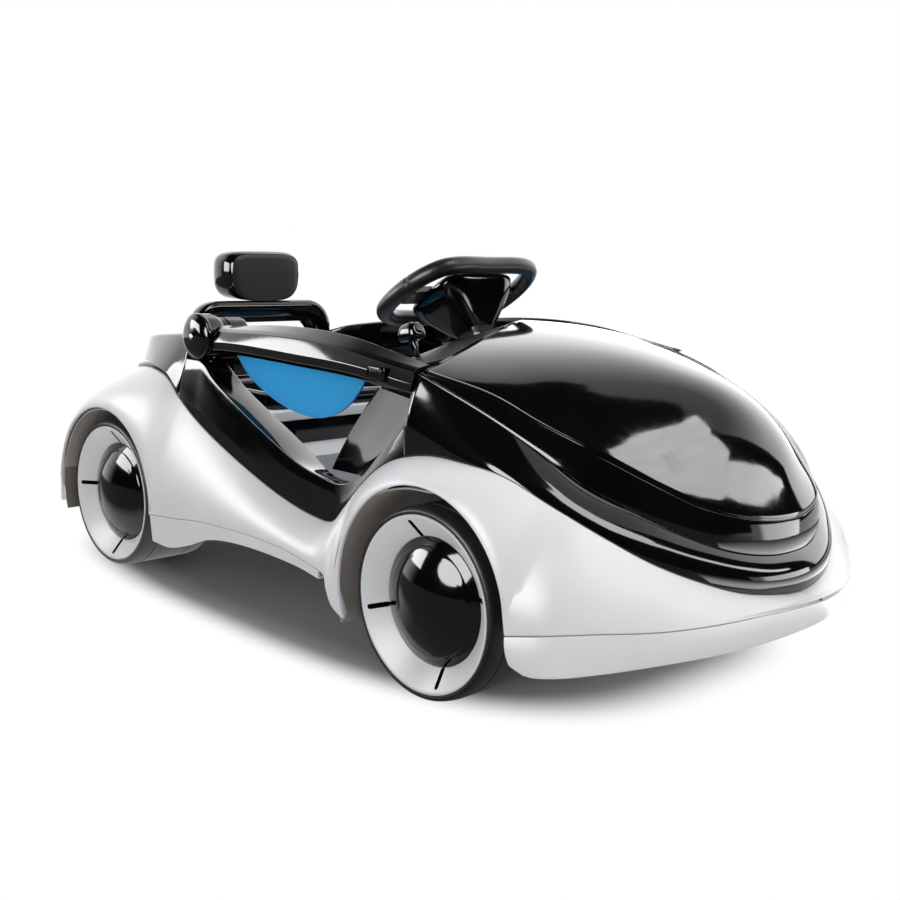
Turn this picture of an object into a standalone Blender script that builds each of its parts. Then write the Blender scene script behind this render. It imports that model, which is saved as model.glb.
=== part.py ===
"""Kids ride-on electric car: a low white body with a black upper half, four big wheels and lift-up doors.

Units are metres. +X is the nose, +Y the driver's left, +Z up; the origin is on the floor, under the middle.
Outlines of the right side are points of (x, half width, z); the left side mirrors them.
"""
import math

import bmesh
import bpy
from mathutils import Matrix, Vector

# Clearances
SEAT_GAP = 0.0003
SEAM_GAP = 0.0006
NOSE_GAP = 0.0010
RUN_GAP = 0.0003

# The outlines are drawn 12 mm behind the middle of the car
CENTRE_SHIFT = 0.012

# Wheels and axles
TYRE_RADIUS = 0.109
TYRE_SHOULDER = 0.107
RIM_RADIUS = 0.100
WHEEL_WIDTH = 0.120
WHEEL_FACE_Y = 0.300
FRONT_AXLE_X = 0.255
WHEELBASE = 0.676
DOME_RADIUS = 0.072
DOME_BULGE = 0.026
DISH_DEPTH = 0.020
RIM_WALL = 0.003
AXLE_RADIUS = 0.006
HUB_TUBE_RADIUS = 0.014
HUB_TUBE_START = 0.0428
SLOT_WIDTH = 0.0045
SLOT_INNER = 0.074
SLOT_OUTER = 0.093

# Steering
KINGPIN_Y = 0.205
KINGPIN_RADIUS = 0.004
STEER_ARM = 0.050
TIE_ROD_WIDTH = 0.020
TIE_ROD_DEPTH = 0.005
ARM_PIN_RADIUS = 0.003
ARM_TOP = TYRE_RADIUS - 0.0095
ARM_BOTTOM = ARM_TOP - 0.004
WHEEL_LOCK_DEG = 18.0
HAND_LOCK_DEG = 36.0
COLUMN_TOP = (-0.002, 0.4305)
COLUMN_TILT_DEG = 55.4
COLUMN_RADIUS = 0.005
CRANK_PIN_DROP = 0.030
CRANK_LEVEL_Z = 0.128
RIM_TUBE = 0.0115
RIM_HALF_WIDTH = 0.109
RIM_TOP = 0.070
RIM_BOTTOM = 0.068
BUTTON_RADIUS = 0.008
BUTTON_SINK = 0.0016

# Dashboard controls
KNOB_Y = 0.150

# Body
SHELL_WALL = 0.0025
PANEL_WALL = 0.003
FLANGE = 0.008
LIP_FLANGE = 0.011
ARCH_HALF_WIDTH = 0.315
ARCH_RADIUS = 0.130
REAR_ARCH = (-0.415, 0.109)
FRONT_ARCH = (0.262, 0.114)
LINER_WALL = 0.002
LINER_OUTER_Y = 0.2975
LINER_TAPER = 0.016
FLOOR_BOTTOM = 0.118
FLOOR_TOP = 0.126
FLOOR_HALF_WIDTH = 0.285
SPINE_HALF_WIDTH = 0.130
TUB_HALF_WIDTH = 0.165
TUB_BOTTOM = 0.075
TUB_WALL = 0.004
DECK_Z = 0.195
TUB_BACK_X = -0.555
TUB_FRONT_X = -0.245
PLINTH_FRONT_X = -0.135
PLINTH_HALF_WIDTH = 0.218
FLOOR_BACK_X = -0.262
FLOOR_FRONT_X = 0.1191
SPINE_FRONT_X = 0.470
NOSE_TONGUE_X = 0.550

# Seat
SEAT_BACK_X = -0.466
SEAT_FRONT_X = -0.222
RISER_HALF_WIDTH = 0.148
SHELF_HALF_WIDTH = 0.155
RISER_TOP = 0.230
SHELF_TOP = 0.247
PAN_TOP = 0.270
PAN_DISH = 0.007
ARCH_FRONT_X = -0.4435
ARCH_DEPTH = 0.030
SEAT_ARCH_OUTER = 0.136
SEAT_ARCH_INNER = 0.098
SEAT_ARCH_TOP = 0.389
SEAT_ARCH_INNER_TOP = 0.354
HEADREST_HALF_WIDTH = 0.072
HEADREST_TOP = 0.469
HEADREST_FRONT_X = -0.446
HEADREST_DEPTH = 0.062

# Doors
HINGE_X = -0.234
HINGE_Z = 0.3585
HINGE_PIN_RADIUS = 0.010
SILL_TOP_Z = 0.3255
DOOR_EYE_RADIUS = 0.0315
DOOR_EYE_OUTER_Y = 0.280
HOUSING_RADIUS = 0.025
HOUSING_INNER_Y = 0.196
BAR_OUTER_Y = 0.267
BAR_INNER_Y = 0.232
BAR_CROWN = 0.006
BAR_FRONT_X = 0.192
WINDOW_THICKNESS = 0.003
LATCH_X = 0.1180
LATCH_Z = 0.3400
LATCH_TRAVEL = 0.008
LATCH_LENGTH = 0.028
LATCH_HEIGHT = 0.016
LATCH_RECESS = 0.006

# Upright joints between the black panels: (x, z, lean in degrees)
DECK_JOINT = (-0.2765, 0.300, 9.0)
PILLAR_JOINT = (0.1895, 0.300, 0.0)
JOINT_OVERRUN = 0.006
DASH_GAP = 0.0020
DECK_LEDGE = 0.008

# Driving outlines of the right side: (x, half width, z)
WAIST_LINE = [
    (-0.574, 0.000, 0.266), (-0.570, 0.070, 0.267), (-0.556, 0.130, 0.271), (-0.524, 0.181, 0.278),
    (-0.476, 0.219, 0.287), (-0.420, 0.244, 0.297), (-0.366, 0.260, 0.301), (-0.314, 0.269, 0.294),
    (-0.275, 0.272, 0.269), (-0.225, 0.272, 0.240), (-0.129, 0.272, 0.201), (-0.030, 0.271, 0.170),
    (0.030, 0.270, 0.159), (0.064, 0.270, 0.160), (0.088, 0.270, 0.184), (0.115, 0.270, 0.214),
    (0.149, 0.270, 0.242), (0.183, 0.270, 0.258), (0.232, 0.270, 0.268), (0.278, 0.270, 0.2685),
    (0.337, 0.266, 0.2631), (0.390, 0.248, 0.2389), (0.437, 0.218, 0.2109), (0.474, 0.181, 0.1849),
    (0.503, 0.139, 0.1656), (0.524, 0.097, 0.1515), (0.537, 0.055, 0.1444), (0.543, 0.000, 0.1396),
]
TAIL_LIP = [
    (-0.594, 0.000, 0.080), (-0.593, 0.100, 0.080), (-0.588, 0.190, 0.080), (-0.577, 0.262, 0.079),
    (-0.562, 0.300, 0.078), (-0.545, 0.315, 0.0775),
]
SIDE_SEAM = [
    (-0.285, 0.313, 0.1045), (-0.220, 0.310, 0.111), (-0.170, 0.308, 0.117), (-0.078, 0.306, 0.121),
    (0.008, 0.306, 0.120), (0.070, 0.308, 0.113), (0.100, 0.311, 0.107), (0.108, 0.313, 0.092),
    (0.120, 0.314, 0.075), (0.142, 0.315, 0.066),
]
SKIRT_EDGE = [
    (-0.278, 0.313, 0.0675), (-0.242, 0.311, 0.066), (-0.207, 0.310, 0.075), (-0.170, 0.308, 0.090),
    (-0.135, 0.307, 0.099), (-0.078, 0.306, 0.105), (-0.013, 0.306, 0.106), (0.048, 0.307, 0.104),
    (0.088, 0.309, 0.100),
]
NOSE_SEAM = [
    (0.391, 0.312, 0.1135), (0.430, 0.298, 0.1210), (0.468, 0.258, 0.1245), (0.502, 0.206, 0.1245),
    (0.529, 0.151, 0.1270), (0.550, 0.094, 0.1312), (0.565, 0.044, 0.1340), (0.570, 0.000, 0.1350),
]
BUMPER_EDGE = [
    (0.4005, 0.312, 0.084), (0.418, 0.309, 0.078), (0.440, 0.294, 0.078), (0.468, 0.249, 0.080),
    (0.497, 0.192, 0.084), (0.522, 0.135, 0.088), (0.540, 0.076, 0.092), (0.550, 0.000, 0.096),
]
HOOD_EDGE = [
    (0.1955, 0.248, 0.3584), (0.275, 0.222, 0.3397), (0.335, 0.206, 0.3152), (0.397, 0.184, 0.2909),
    (0.451, 0.150, 0.2631), (0.482, 0.119, 0.2440), (0.5095, 0.083, 0.2325), (0.523, 0.043, 0.2262),
    (0.528, 0.000, 0.2240),
]
HOOD_RIM_FOOT = [
    (0.1960, 0.258, 0.3528), (0.285, 0.238, 0.3163), (0.340, 0.222, 0.288), (0.397, 0.200, 0.2536),
    (0.451, 0.164, 0.2258), (0.484, 0.129, 0.2065), (0.5095, 0.093, 0.1919), (0.526, 0.045, 0.1835),
    (0.531, 0.000, 0.1821),
]
HOOD_SPINE = [
    (0.115, 0.000, 0.4019), (0.160, 0.000, 0.3991), (0.220, 0.000, 0.3946), (0.280, 0.000, 0.387),
    (0.340, 0.000, 0.3744), (0.400, 0.000, 0.3591), (0.455, 0.000, 0.3428),
]
HOOD_FULLNESS = 1.7
FRAME_RIDGE = [
    (-0.300, 0.262, 0.3240), (-0.252, 0.262, 0.3240), (-0.240, 0.262, 0.3238), (-0.225, 0.263, 0.319),
    (-0.206, 0.264, 0.305),
    (-0.160, 0.264, 0.2805), (-0.094, 0.264, 0.251), (-0.015, 0.264, 0.220), (0.032, 0.264, 0.210),
    (0.064, 0.264, 0.2065), (0.084, 0.264, 0.2105), (0.105, 0.264, 0.221), (0.130, 0.263, 0.246),
    (0.158, 0.262, 0.275), (0.178, 0.260, 0.300), (0.196, 0.258, 0.3260),
]
SILL_INNER = [
    (-0.300, 0.222, 0.3240), (-0.252, 0.222, 0.3240), (-0.240, 0.222, 0.3232), (-0.215, 0.222, 0.310),
    (-0.190, 0.222, 0.294),
    (-0.130, 0.222, 0.266), (-0.076, 0.222, 0.2425), (-0.029, 0.222, 0.2205), (0.000, 0.222, 0.205),
    (0.030, 0.222, 0.2005), (0.065, 0.222, 0.2015),
]
SILL_FRONT_X = 0.060
PILLAR_FOOT_X = 0.086
TRIM_EDGE = [
    (0.092, 0.2517, 0.2205), (0.128, 0.2512, 0.248), (0.156, 0.2502, 0.276), (0.175, 0.2487, 0.300),
    (0.185, 0.2472, 0.320),
]
TRIM_JAMB = [
    (0.004, 0.2225, 0.2095), (0.014, 0.2225, 0.226), (0.036, 0.2225, 0.259), (0.062, 0.2225, 0.292),
    (0.088, 0.2225, 0.324),
]
DECK_EDGE = [
    (-0.558, 0.000, 0.318), (-0.555, 0.065, 0.319), (-0.545, 0.120, 0.322), (-0.518, 0.168, 0.328),
    (-0.472, 0.205, 0.336), (-0.415, 0.230, 0.344), (-0.355, 0.243, 0.351), (-0.310, 0.250, 0.355),
    (-0.256, 0.255, 0.357),
]
DECK_INNER = [
    (-0.520, 0.000, 0.322), (-0.518, 0.070, 0.323), (-0.508, 0.125, 0.326), (-0.485, 0.155, 0.332),
    (-0.450, 0.170, 0.344), (-0.400, 0.176, 0.353), (-0.355, 0.178, 0.359), (-0.310, 0.179, 0.362),
    (-0.256, 0.180, 0.364),
]
BAR_TOP = [
    (-0.214, 0.3725), (-0.187, 0.3725), (-0.100, 0.3765), (-0.017, 0.3775), (0.060, 0.3745),
    (0.124, 0.3675), (0.165, 0.3630), (0.192, 0.3605),
]
BAR_BOTTOM = [
    (-0.214, 0.3370), (-0.157, 0.3400), (-0.079, 0.3400), (-0.016, 0.3390), (0.062, 0.3380),
    (0.116, 0.3350), (0.165, 0.3292), (0.192, 0.3270),
]
WINDOW_OUTLINE = [
    (-0.198, 0.340), (-0.166, 0.311), (-0.120, 0.2895), (-0.076, 0.277), (-0.030, 0.2725),
    (-0.004, 0.2748), (0.036, 0.291), (0.063, 0.315), (0.080, 0.340),
]

HOOD_PARTS = (0.14, 0.28, 0.50, 0.75, 1.00)

# Ribs of the flank: where each point of the lower edge meets the waist line
TAIL_RIBS = 6
NOSE_RIBS = 9
TAIL_TIP_WAIST_X = -0.552
NOSE_START_WAIST_X = 0.400
SHOULDER_START_X = 0.186
REAR_ARCH_STATIONS = [
    (180, -0.545), (165, -0.530), (150, -0.508), (135, -0.482), (120, -0.455), (105, -0.427), (90, -0.400),
    (75, -0.372), (60, -0.345), (45, -0.320), (30, -0.300), (15, -0.281), (-2, -0.262),
]
SEAM_STATIONS = [
    (-0.285, -0.250, 1.0), (-0.235, -0.215, 1.0), (-0.185, -0.172, 1.0), (-0.125, -0.120, 1.0),
    (-0.065, -0.066, 1.0), (-0.005, -0.012, 1.0), (0.045, 0.036, 1.0), (0.070, 0.060, 1.0),
    (0.0885, 0.076, 1.0), (0.101, 0.088, 0.9), (0.108, 0.096, 0.7), (0.120, 0.101, 0.5), (0.142, 0.106, 0.38),
]
FRONT_ARCH_STATIONS = [
    (190, 0.112, 0.6), (178, 0.122, 0.8), (165, 0.134, 1.0), (150, 0.150, 1.0), (135, 0.170, 1.0),
    (120, 0.194, 1.0), (105, 0.222, 1.0), (90, 0.252, 1.0), (75, 0.284, 1.0), (60, 0.315, 1.0),
    (45, 0.343, 1.0), (30, 0.366, 1.0), (15, 0.384, 1.0),
]
WHEEL_STEPS = 32
DOME_STEPS = 24


def clear_scene():
    for old in list(bpy.data.objects):
        bpy.data.objects.remove(old, do_unlink=True)


def new_collection(name, shown):
    found = bpy.data.collections.new(name)
    found.hide_render = not shown
    bpy.context.scene.collection.children.link(found)
    return found


def plastic(name, colour, roughness, metallic=0.0, transmission=0.0):
    material = bpy.data.materials.new(name)
    material.use_nodes = True
    shader = material.node_tree.nodes["Principled BSDF"]
    shader.inputs["Base Color"].default_value = (*colour, 1.0)
    shader.inputs["Roughness"].default_value = roughness
    shader.inputs["Metallic"].default_value = metallic
    shader.inputs["Transmission Weight"].default_value = transmission
    return material


clear_scene()
CAR = new_collection("ride_on_car", True)
CUTTERS = new_collection("cutters", False)
WHITE = plastic("white_gloss_plastic", (0.86, 0.86, 0.87), 0.22)
BLACK = plastic("black_gloss_plastic", (0.012, 0.012, 0.013), 0.10)
SATIN_BLACK = plastic("black_satin_plastic", (0.020, 0.020, 0.022), 0.35)
SMOKE = plastic("grey_arch_plastic", (0.12, 0.12, 0.12), 0.40)
TREAD = plastic("black_tyre_plastic", (0.015, 0.015, 0.016), 0.45)
BLUE = plastic("blue_clear_plastic", (0.03, 0.45, 0.90), 0.08, transmission=0.9)
STEEL = plastic("zinc_plated_steel", (0.55, 0.55, 0.56), 0.35, metallic=1.0)
CASE_GREY = plastic("grey_case_plastic", (0.18, 0.18, 0.19), 0.5)


def side_name(stem, side):
    return stem + ("_right" if side < 0 else "_left")


class Rail:
    """A smooth line through driving points, read by its share of length."""

    def __init__(self, points, mirrored_start=False, mirrored_end=False):
        knots = [Vector(point) for point in points]
        before = knots[0] * 2 - knots[1]
        after = knots[-1] * 2 - knots[-2]
        if mirrored_start:
            before = Vector((knots[1].x, -knots[1].y, knots[1].z))
        if mirrored_end:
            after = Vector((knots[-2].x, -knots[-2].y, knots[-2].z))
        knots = [before, *knots, after]
        self.points = []
        for a, b, c, d in zip(knots, knots[1:], knots[2:], knots[3:]):
            for step in range(16):
                self.points.append(catmull(a, b, c, d, step / 16))
        self.points.append(knots[-2])
        self.lengths = [0.0]
        for a, b in zip(self.points, self.points[1:]):
            self.lengths.append(self.lengths[-1] + (b - a).length)

    def at(self, share):
        wanted = min(max(share, 0.0), 1.0) * self.lengths[-1]
        for i in range(1, len(self.points)):
            if self.lengths[i] >= wanted:
                span = self.lengths[i] - self.lengths[i - 1]
                part = (wanted - self.lengths[i - 1]) / span if span else 0.0
                return self.points[i - 1].lerp(self.points[i], part)
        return self.points[-1].copy()

    def share_at_x(self, x):
        nearest = min(range(len(self.points)), key=lambda i: abs(self.points[i].x - x))
        return self.lengths[nearest] / self.lengths[-1]

    def along(self, share):
        step = 0.002
        return (self.at(share + step) - self.at(share - step)).normalized()

    def inward(self, share):
        """The level direction towards the middle of the car, square to the line."""
        along = self.along(share)
        return Vector((along.y, -along.x, 0.0)).normalized()

    def lifted(self, share, amount):
        """A point of the line moved square to it, upwards."""
        along = self.along(share)
        up = Vector((0.0, 0.0, 1.0))
        up = (up - along * up.dot(along)).normalized()
        return self.at(share) + up * amount


def catmull(a, b, c, d, t):
    """Point at t between b and c on a chord-length Catmull-Rom curve."""
    ab = max((b - a).length, 1e-9) ** 0.5
    bc = max((c - b).length, 1e-9) ** 0.5
    cd = max((d - c).length, 1e-9) ** 0.5
    m1 = (c - b) + bc * ((b - a) / ab - (c - a) / (ab + bc))
    m2 = (c - b) + bc * ((d - c) / cd - (d - b) / (bc + cd))
    t2, t3 = t * t, t * t * t
    return b * (2 * t3 - 3 * t2 + 1) + m1 * (t3 - 2 * t2 + t) + c * (3 * t2 - 2 * t3) + m2 * (t3 - t2)


def shares(start, end, count):
    return [start + (end - start) * i / count for i in range(count + 1)]


def finish(obj, material, shown=True):
    obj.data.materials.clear()
    obj.data.materials.append(material)
    for collection in list(obj.users_collection):
        collection.objects.unlink(obj)
    (CAR if shown else CUTTERS).objects.link(obj)
    if not shown:
        obj.hide_render = True
        obj.display_type = "WIRE"
    return obj


def mesh_object(name, bm, material, shown=True):
    mesh = bpy.data.meshes.new(name)
    bmesh.ops.recalc_face_normals(bm, faces=bm.faces)
    bm.to_mesh(mesh)
    bm.free()
    mesh.shade_smooth()
    mesh.set_sharp_from_angle(angle=math.radians(35))
    return finish(bpy.data.objects.new(name, mesh), material, shown)


def box(name, low, high, material, bevel=0.0, shown=True):
    low, high = Vector(low), Vector(high)
    bm = bmesh.new()
    bmesh.ops.create_cube(bm, size=1.0)
    size = high - low
    bmesh.ops.scale(bm, vec=size, verts=bm.verts)
    obj = mesh_object(name, bm, material, shown)
    obj.location = (low + high) / 2
    if bevel:
        round_edges(obj, bevel)
    return obj


def round_edges(obj, width, segments=2):
    modifier = obj.modifiers.new("rounded", "BEVEL")
    modifier.width = width
    modifier.segments = segments
    modifier.limit_method = "ANGLE"
    modifier.angle_limit = math.radians(40)


def cylinder(name, start, end, radius, material, steps=20, shown=True):
    start, end = Vector(start), Vector(end)
    bm = bmesh.new()
    bmesh.ops.create_cone(bm, cap_ends=True, segments=steps, radius1=radius, radius2=radius,
                          depth=(end - start).length)
    obj = mesh_object(name, bm, material, shown)
    obj.location = (start + end) / 2
    obj.rotation_euler = (end - start).to_track_quat("Z", "Y").to_euler()
    return obj


def turned(name, profile, material, location, axis, steps=WHEEL_STEPS, shown=True):
    """A closed or axis-to-axis profile of (radius, height) turned about the given axis."""
    area = sum(a[0] * b[1] - b[0] * a[1] for a, b in zip(profile, profile[1:] + profile[:1]))
    points = profile if area < 0 else profile[::-1]
    closed = all(point[0] > 1e-6 for point in profile)
    bm = bmesh.new()
    verts = [bm.verts.new((radius, 0.0, height)) for radius, height in points]
    for a, b in zip(verts, verts[1:]):
        bm.edges.new((a, b))
    if closed:
        bm.edges.new((verts[-1], verts[0]))
    mesh = bpy.data.meshes.new(name)
    bm.to_mesh(mesh)
    bm.free()
    obj = finish(bpy.data.objects.new(name, mesh), material, shown)
    screw = obj.modifiers.new("turned", "SCREW")
    screw.steps = steps
    screw.render_steps = steps
    screw.use_merge_vertices = True
    screw.merge_threshold = 0.00001
    screw.use_smooth_shade = True
    obj.location = location
    obj.rotation_euler = Vector(axis).to_track_quat("Z", "X").to_euler()
    return obj


def cut(target, cutter, operation="DIFFERENCE"):
    modifier = target.modifiers.new(cutter.name, "BOOLEAN")
    modifier.object = cutter
    modifier.operation = operation
    modifier.solver = "EXACT"
    return target


def join(target, other):
    """Adds a helper solid to the target."""
    return cut(target, other, "UNION")


def half_space(joint, ahead):
    """A large cutter that fills everything ahead of an upright joint, or everything behind it."""
    x, z, lean = joint
    name = "joint_" + str(round(x * 10000)) + ("_ahead" if ahead else "_behind")
    if name in bpy.data.objects:
        return bpy.data.objects[name]
    near = SEAM_GAP / 2
    low, high = (-near, 0.5) if ahead else (-0.5, near)
    cutter = box(name, (low, -0.4, -0.3), (high, 0.4, 0.3), BLACK, shown=False)
    shift = Matrix.Translation(((low + high) / 2, 0.0, 0.0))
    cutter.matrix_world = Matrix.Translation((x, 0.0, z)) @ Matrix.Rotation(math.radians(lean), 4, "Y") @ shift
    return cutter


def sheet(name, ribs, side, material, wall, mirrored=False):
    """A wall of even thickness under an outer face, given as ribs of (x, half width, z) points.

    Ribs run from tail to nose, and each from its outer foot upwards and inwards.
    """
    bm = bmesh.new()
    grid = [[bm.verts.new((p[0], side * p[1], p[2])) for p in rib] for rib in ribs]
    faces = []
    for rib, following in zip(grid, grid[1:]):
        for i in range(len(rib) - 1):
            faces.append(bm.faces.new((rib[i], following[i], following[i + 1], rib[i + 1])))
    if side > 0:
        bmesh.ops.reverse_faces(bm, faces=faces)
    mesh = bpy.data.meshes.new(name)
    bm.to_mesh(mesh)
    bm.free()
    mesh.shade_smooth()
    mesh.set_sharp_from_angle(angle=math.radians(35))
    obj = finish(bpy.data.objects.new(name, mesh), material)
    if mirrored:
        mirror = obj.modifiers.new("other_side", "MIRROR")
        mirror.use_axis = (False, True, False)
        mirror.use_clip = True
        mirror.merge_threshold = 0.0001
    solid = obj.modifiers.new("wall", "SOLIDIFY")
    solid.thickness = wall
    solid.offset = -1.0
    solid.use_even_offset = True
    return obj


WAIST = Rail(WAIST_LINE, mirrored_start=True, mirrored_end=True)
SEAM = Rail(SIDE_SEAM)
NOSE = Rail(NOSE_SEAM, mirrored_end=True)
BUMPER = Rail(BUMPER_EDGE, mirrored_end=True)
HOOD_RIM = Rail(HOOD_EDGE, mirrored_end=True)
RIM_FOOT = Rail(HOOD_RIM_FOOT, mirrored_end=True)
SPINE = Rail(HOOD_SPINE)
LEVEL = Vector((0.0, -1.0, 0.0))


def arch_point(centre, degrees):
    angle = math.radians(degrees)
    return Vector((centre[0] + ARCH_RADIUS * math.cos(angle), ARCH_HALF_WIDTH,
                   centre[1] + ARCH_RADIUS * math.sin(angle)))


def flank_stations():
    """Ribs of the white flank: (point on the lower edge, its inward direction, share of the waist line, lean)."""
    tail = Rail(TAIL_LIP, mirrored_start=True)
    found = []
    tip = WAIST.share_at_x(TAIL_TIP_WAIST_X)
    for part in shares(0.0, 1.0, TAIL_RIBS):
        found.append((tail.at(part), tail.inward(part), tip * part, 1.0))
    for degrees, waist_x in REAR_ARCH_STATIONS:
        found.append((arch_point(REAR_ARCH, degrees), LEVEL, WAIST.share_at_x(waist_x), 1.0))
    for seam_x, waist_x, lean in SEAM_STATIONS:
        lip = SEAM.lifted(SEAM.share_at_x(seam_x), SEAM_GAP / 2)
        found.append((lip, LEVEL, WAIST.share_at_x(waist_x), lean))
    for degrees, waist_x, lean in FRONT_ARCH_STATIONS:
        found.append((arch_point(FRONT_ARCH, degrees), LEVEL, WAIST.share_at_x(waist_x), lean))
    start = WAIST.share_at_x(NOSE_START_WAIST_X)
    for part in shares(0.0, 1.0, NOSE_RIBS):
        found.append((NOSE.lifted(part, NOSE_GAP / 2), NOSE.inward(part), start + (1.0 - start) * part, 1.0))
    return found


FLANK = flank_stations()


def waist_between(start_x, end_x):
    """Shares of the waist line from one x to another, stopping at every rib of the flank between them."""
    start, end = WAIST.share_at_x(start_x), WAIST.share_at_x(end_x)
    inside = [share for _, _, share, _ in FLANK if start + 0.002 < share < end - 0.002]
    return [start, *inside, end]


def waist_point(share):
    """A point on the straight pieces between the flank's ribs."""
    stops = [stop for _, _, stop, _ in FLANK]
    for before, after in zip(stops, stops[1:]):
        if before <= share <= after and after > before:
            return WAIST.at(before).lerp(WAIST.at(after), (share - before) / (after - before))
    return WAIST.at(share)


def waist_foot(share):
    """The lower edge of a black panel just above the waist line."""
    return waist_point(share) + (WAIST.lifted(share, SEAM_GAP / 2) - WAIST.at(share))


NOSE_WAIST = waist_between(SHOULDER_START_X, 1.0)
RIM_SHARES = [(share - NOSE_WAIST[0]) / (1.0 - NOSE_WAIST[0]) for share in NOSE_WAIST]


def side_shell(side):
    """White flank from the tail to the nose, with both wheel arches."""
    ribs = []
    for lip, inward, share, lean in FLANK:
        top = WAIST.lifted(share, -SEAM_GAP / 2)
        rib = [lip + inward * LIP_FLANGE, lip]
        for part in (0.35, 0.70):
            point = lip.lerp(top, part)
            rib.append(Vector((lip.x + (top.x - lip.x) * part ** lean, lip.y + (top.y - lip.y) * part ** 2,
                               point.z)))
        rib += [top, top + WAIST.inward(share) * FLANGE]
        ribs.append(rib)
    for end in (0, -1):
        near = [Vector((point.x, SHELL_WALL * 2, point.z)) for point in ribs[end]]
        for point in ribs[end]:
            point.y = SEAM_GAP / 2
        ribs.insert(1 if end == 0 else len(ribs) - 1, near)
    return sheet(side_name("side_shell", side), ribs, side, WHITE, SHELL_WALL)


def side_skirt(side):
    """Strip under the side seam, between the wheels."""
    edge = Rail(SKIRT_EDGE)
    stops = [SEAM.share_at_x(x) for x, _, _ in SEAM_STATIONS if x < 0.09]
    ribs = []
    for stop in stops:
        top = SEAM.lifted(stop, -SEAM_GAP / 2)
        foot = edge.at(stop / stops[-1])
        ribs.append([foot + LEVEL * LIP_FLANGE, foot, top, top + LEVEL * FLANGE])
    return sheet(side_name("side_skirt", side), ribs, side, WHITE, SHELL_WALL)


def front_bumper():
    """White lower nose, under the nose seam."""
    ribs = []
    for part in shares(0.0, 1.0, NOSE_RIBS):
        top = NOSE.lifted(part, -NOSE_GAP / 2)
        foot = BUMPER.at(part)
        inward = BUMPER.inward(part)
        if part == 0.0:
            inward = Vector((0.0, -1.0, 0.0))
        belly = top.lerp(foot, 0.45) - inward * 0.003
        ribs.append([foot + inward * 0.022, foot, belly, top, top + NOSE.inward(part) * FLANGE])
    for point in ribs[-1]:
        point.y = 0.0
    return sheet("front_bumper", ribs, -1, WHITE, SHELL_WALL, mirrored=True)


def hood_point(share, part):
    """A point on the bonnet: part 0 is on its rim, part 1 on its spine."""
    edge, spine = HOOD_RIM.at(share), SPINE.at(share)
    point = edge.lerp(spine, part)
    point.x = edge.x + (spine.x - edge.x) * part ** (1.5 - 0.5 * share)
    point.z = edge.z + (spine.z - edge.z) * (1 - (1 - part) ** HOOD_FULLNESS)
    return point


def hood():
    """Black bonnet with its upright rim band."""
    ribs = []
    for share in RIM_SHARES:
        foot = RIM_FOOT.lifted(share, SEAM_GAP / 2)
        rib = [foot + RIM_FOOT.inward(share) * FLANGE, foot, HOOD_RIM.at(share)]
        rib += [hood_point(share, part) for part in HOOD_PARTS]
        ribs.append(rib)
    for point in ribs[-1]:
        point.y = 0.0
    return sheet("hood", ribs, -1, BLACK, SHELL_WALL, mirrored=True)


def front_shoulder():
    """Black band between the bonnet rim and the white flank, round the nose."""
    ribs = []
    for waist_share, part in zip(NOSE_WAIST, RIM_SHARES):
        foot = waist_foot(waist_share)
        top = RIM_FOOT.lifted(part, -SEAM_GAP / 2)
        belly = foot.lerp(top, 0.5) - WAIST.inward(waist_share) * 0.004
        ribs.append([foot + WAIST.inward(waist_share) * FLANGE, foot, belly, top,
                     top + RIM_FOOT.inward(part) * FLANGE])
    for point in ribs[-1]:
        point.y = 0.0
    shoulder = sheet("front_shoulder", ribs, -1, BLACK, SHELL_WALL, mirrored=True)
    return cut(shoulder, half_space(PILLAR_JOINT, ahead=False))


def door_frame(side):
    """Black sill and pillar round the door opening: outer face, ridge, inner facet and the wall to the floor."""
    ridge, inner = Rail(FRAME_RIDGE), Rail(SILL_INNER)
    ribs = []
    for waist_share in waist_between(DECK_JOINT[0] - 2 * JOINT_OVERRUN, PILLAR_JOINT[0] + JOINT_OVERRUN):
        foot = waist_foot(waist_share)
        top = ridge.at(ridge.share_at_x(foot.x))
        sill_x = min(foot.x, SILL_FRONT_X)
        inside = inner.at(inner.share_at_x(sill_x))
        base = Vector((inside.x, inside.y + 0.003, FLOOR_TOP + SEAM_GAP))
        base.x = max(base.x, FLOOR_BACK_X + 0.3 * (base.x - FLOOR_BACK_X))
        blend = min(max((foot.x - SILL_FRONT_X) / (PILLAR_FOOT_X - SILL_FRONT_X), 0.0), 1.0)
        hook = top + Vector((-0.003, -0.011, 0.0))
        ribs.append([foot + LEVEL * FLANGE, foot, top, inside.lerp(hook, blend),
                     base.lerp(hook + Vector((0.008, 0.0, -0.004)), blend)])
    frame = sheet(side_name("door_frame", side), ribs, side, BLACK, SHELL_WALL)
    cut(frame, half_space(DECK_JOINT, ahead=False))
    return cut(frame, half_space(PILLAR_JOINT, ahead=True))


def pillar_trim(side):
    """Hollow jamb panel behind the pillar, facing the door opening."""
    edge, jamb = Rail(TRIM_EDGE), Rail(TRIM_JAMB)
    ribs = []
    for part in shares(0.0, 1.0, 6):
        outer, inner = edge.at(part), jamb.at(part)
        ribs.append([outer, outer.lerp(inner, 0.33) + Vector((0.006, 0.0, 0.0)),
                     outer.lerp(inner, 0.67) + Vector((0.006, 0.0, 0.0)), inner])
    return sheet(side_name("pillar_trim", side), ribs, side, BLACK, SHELL_WALL)


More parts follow.
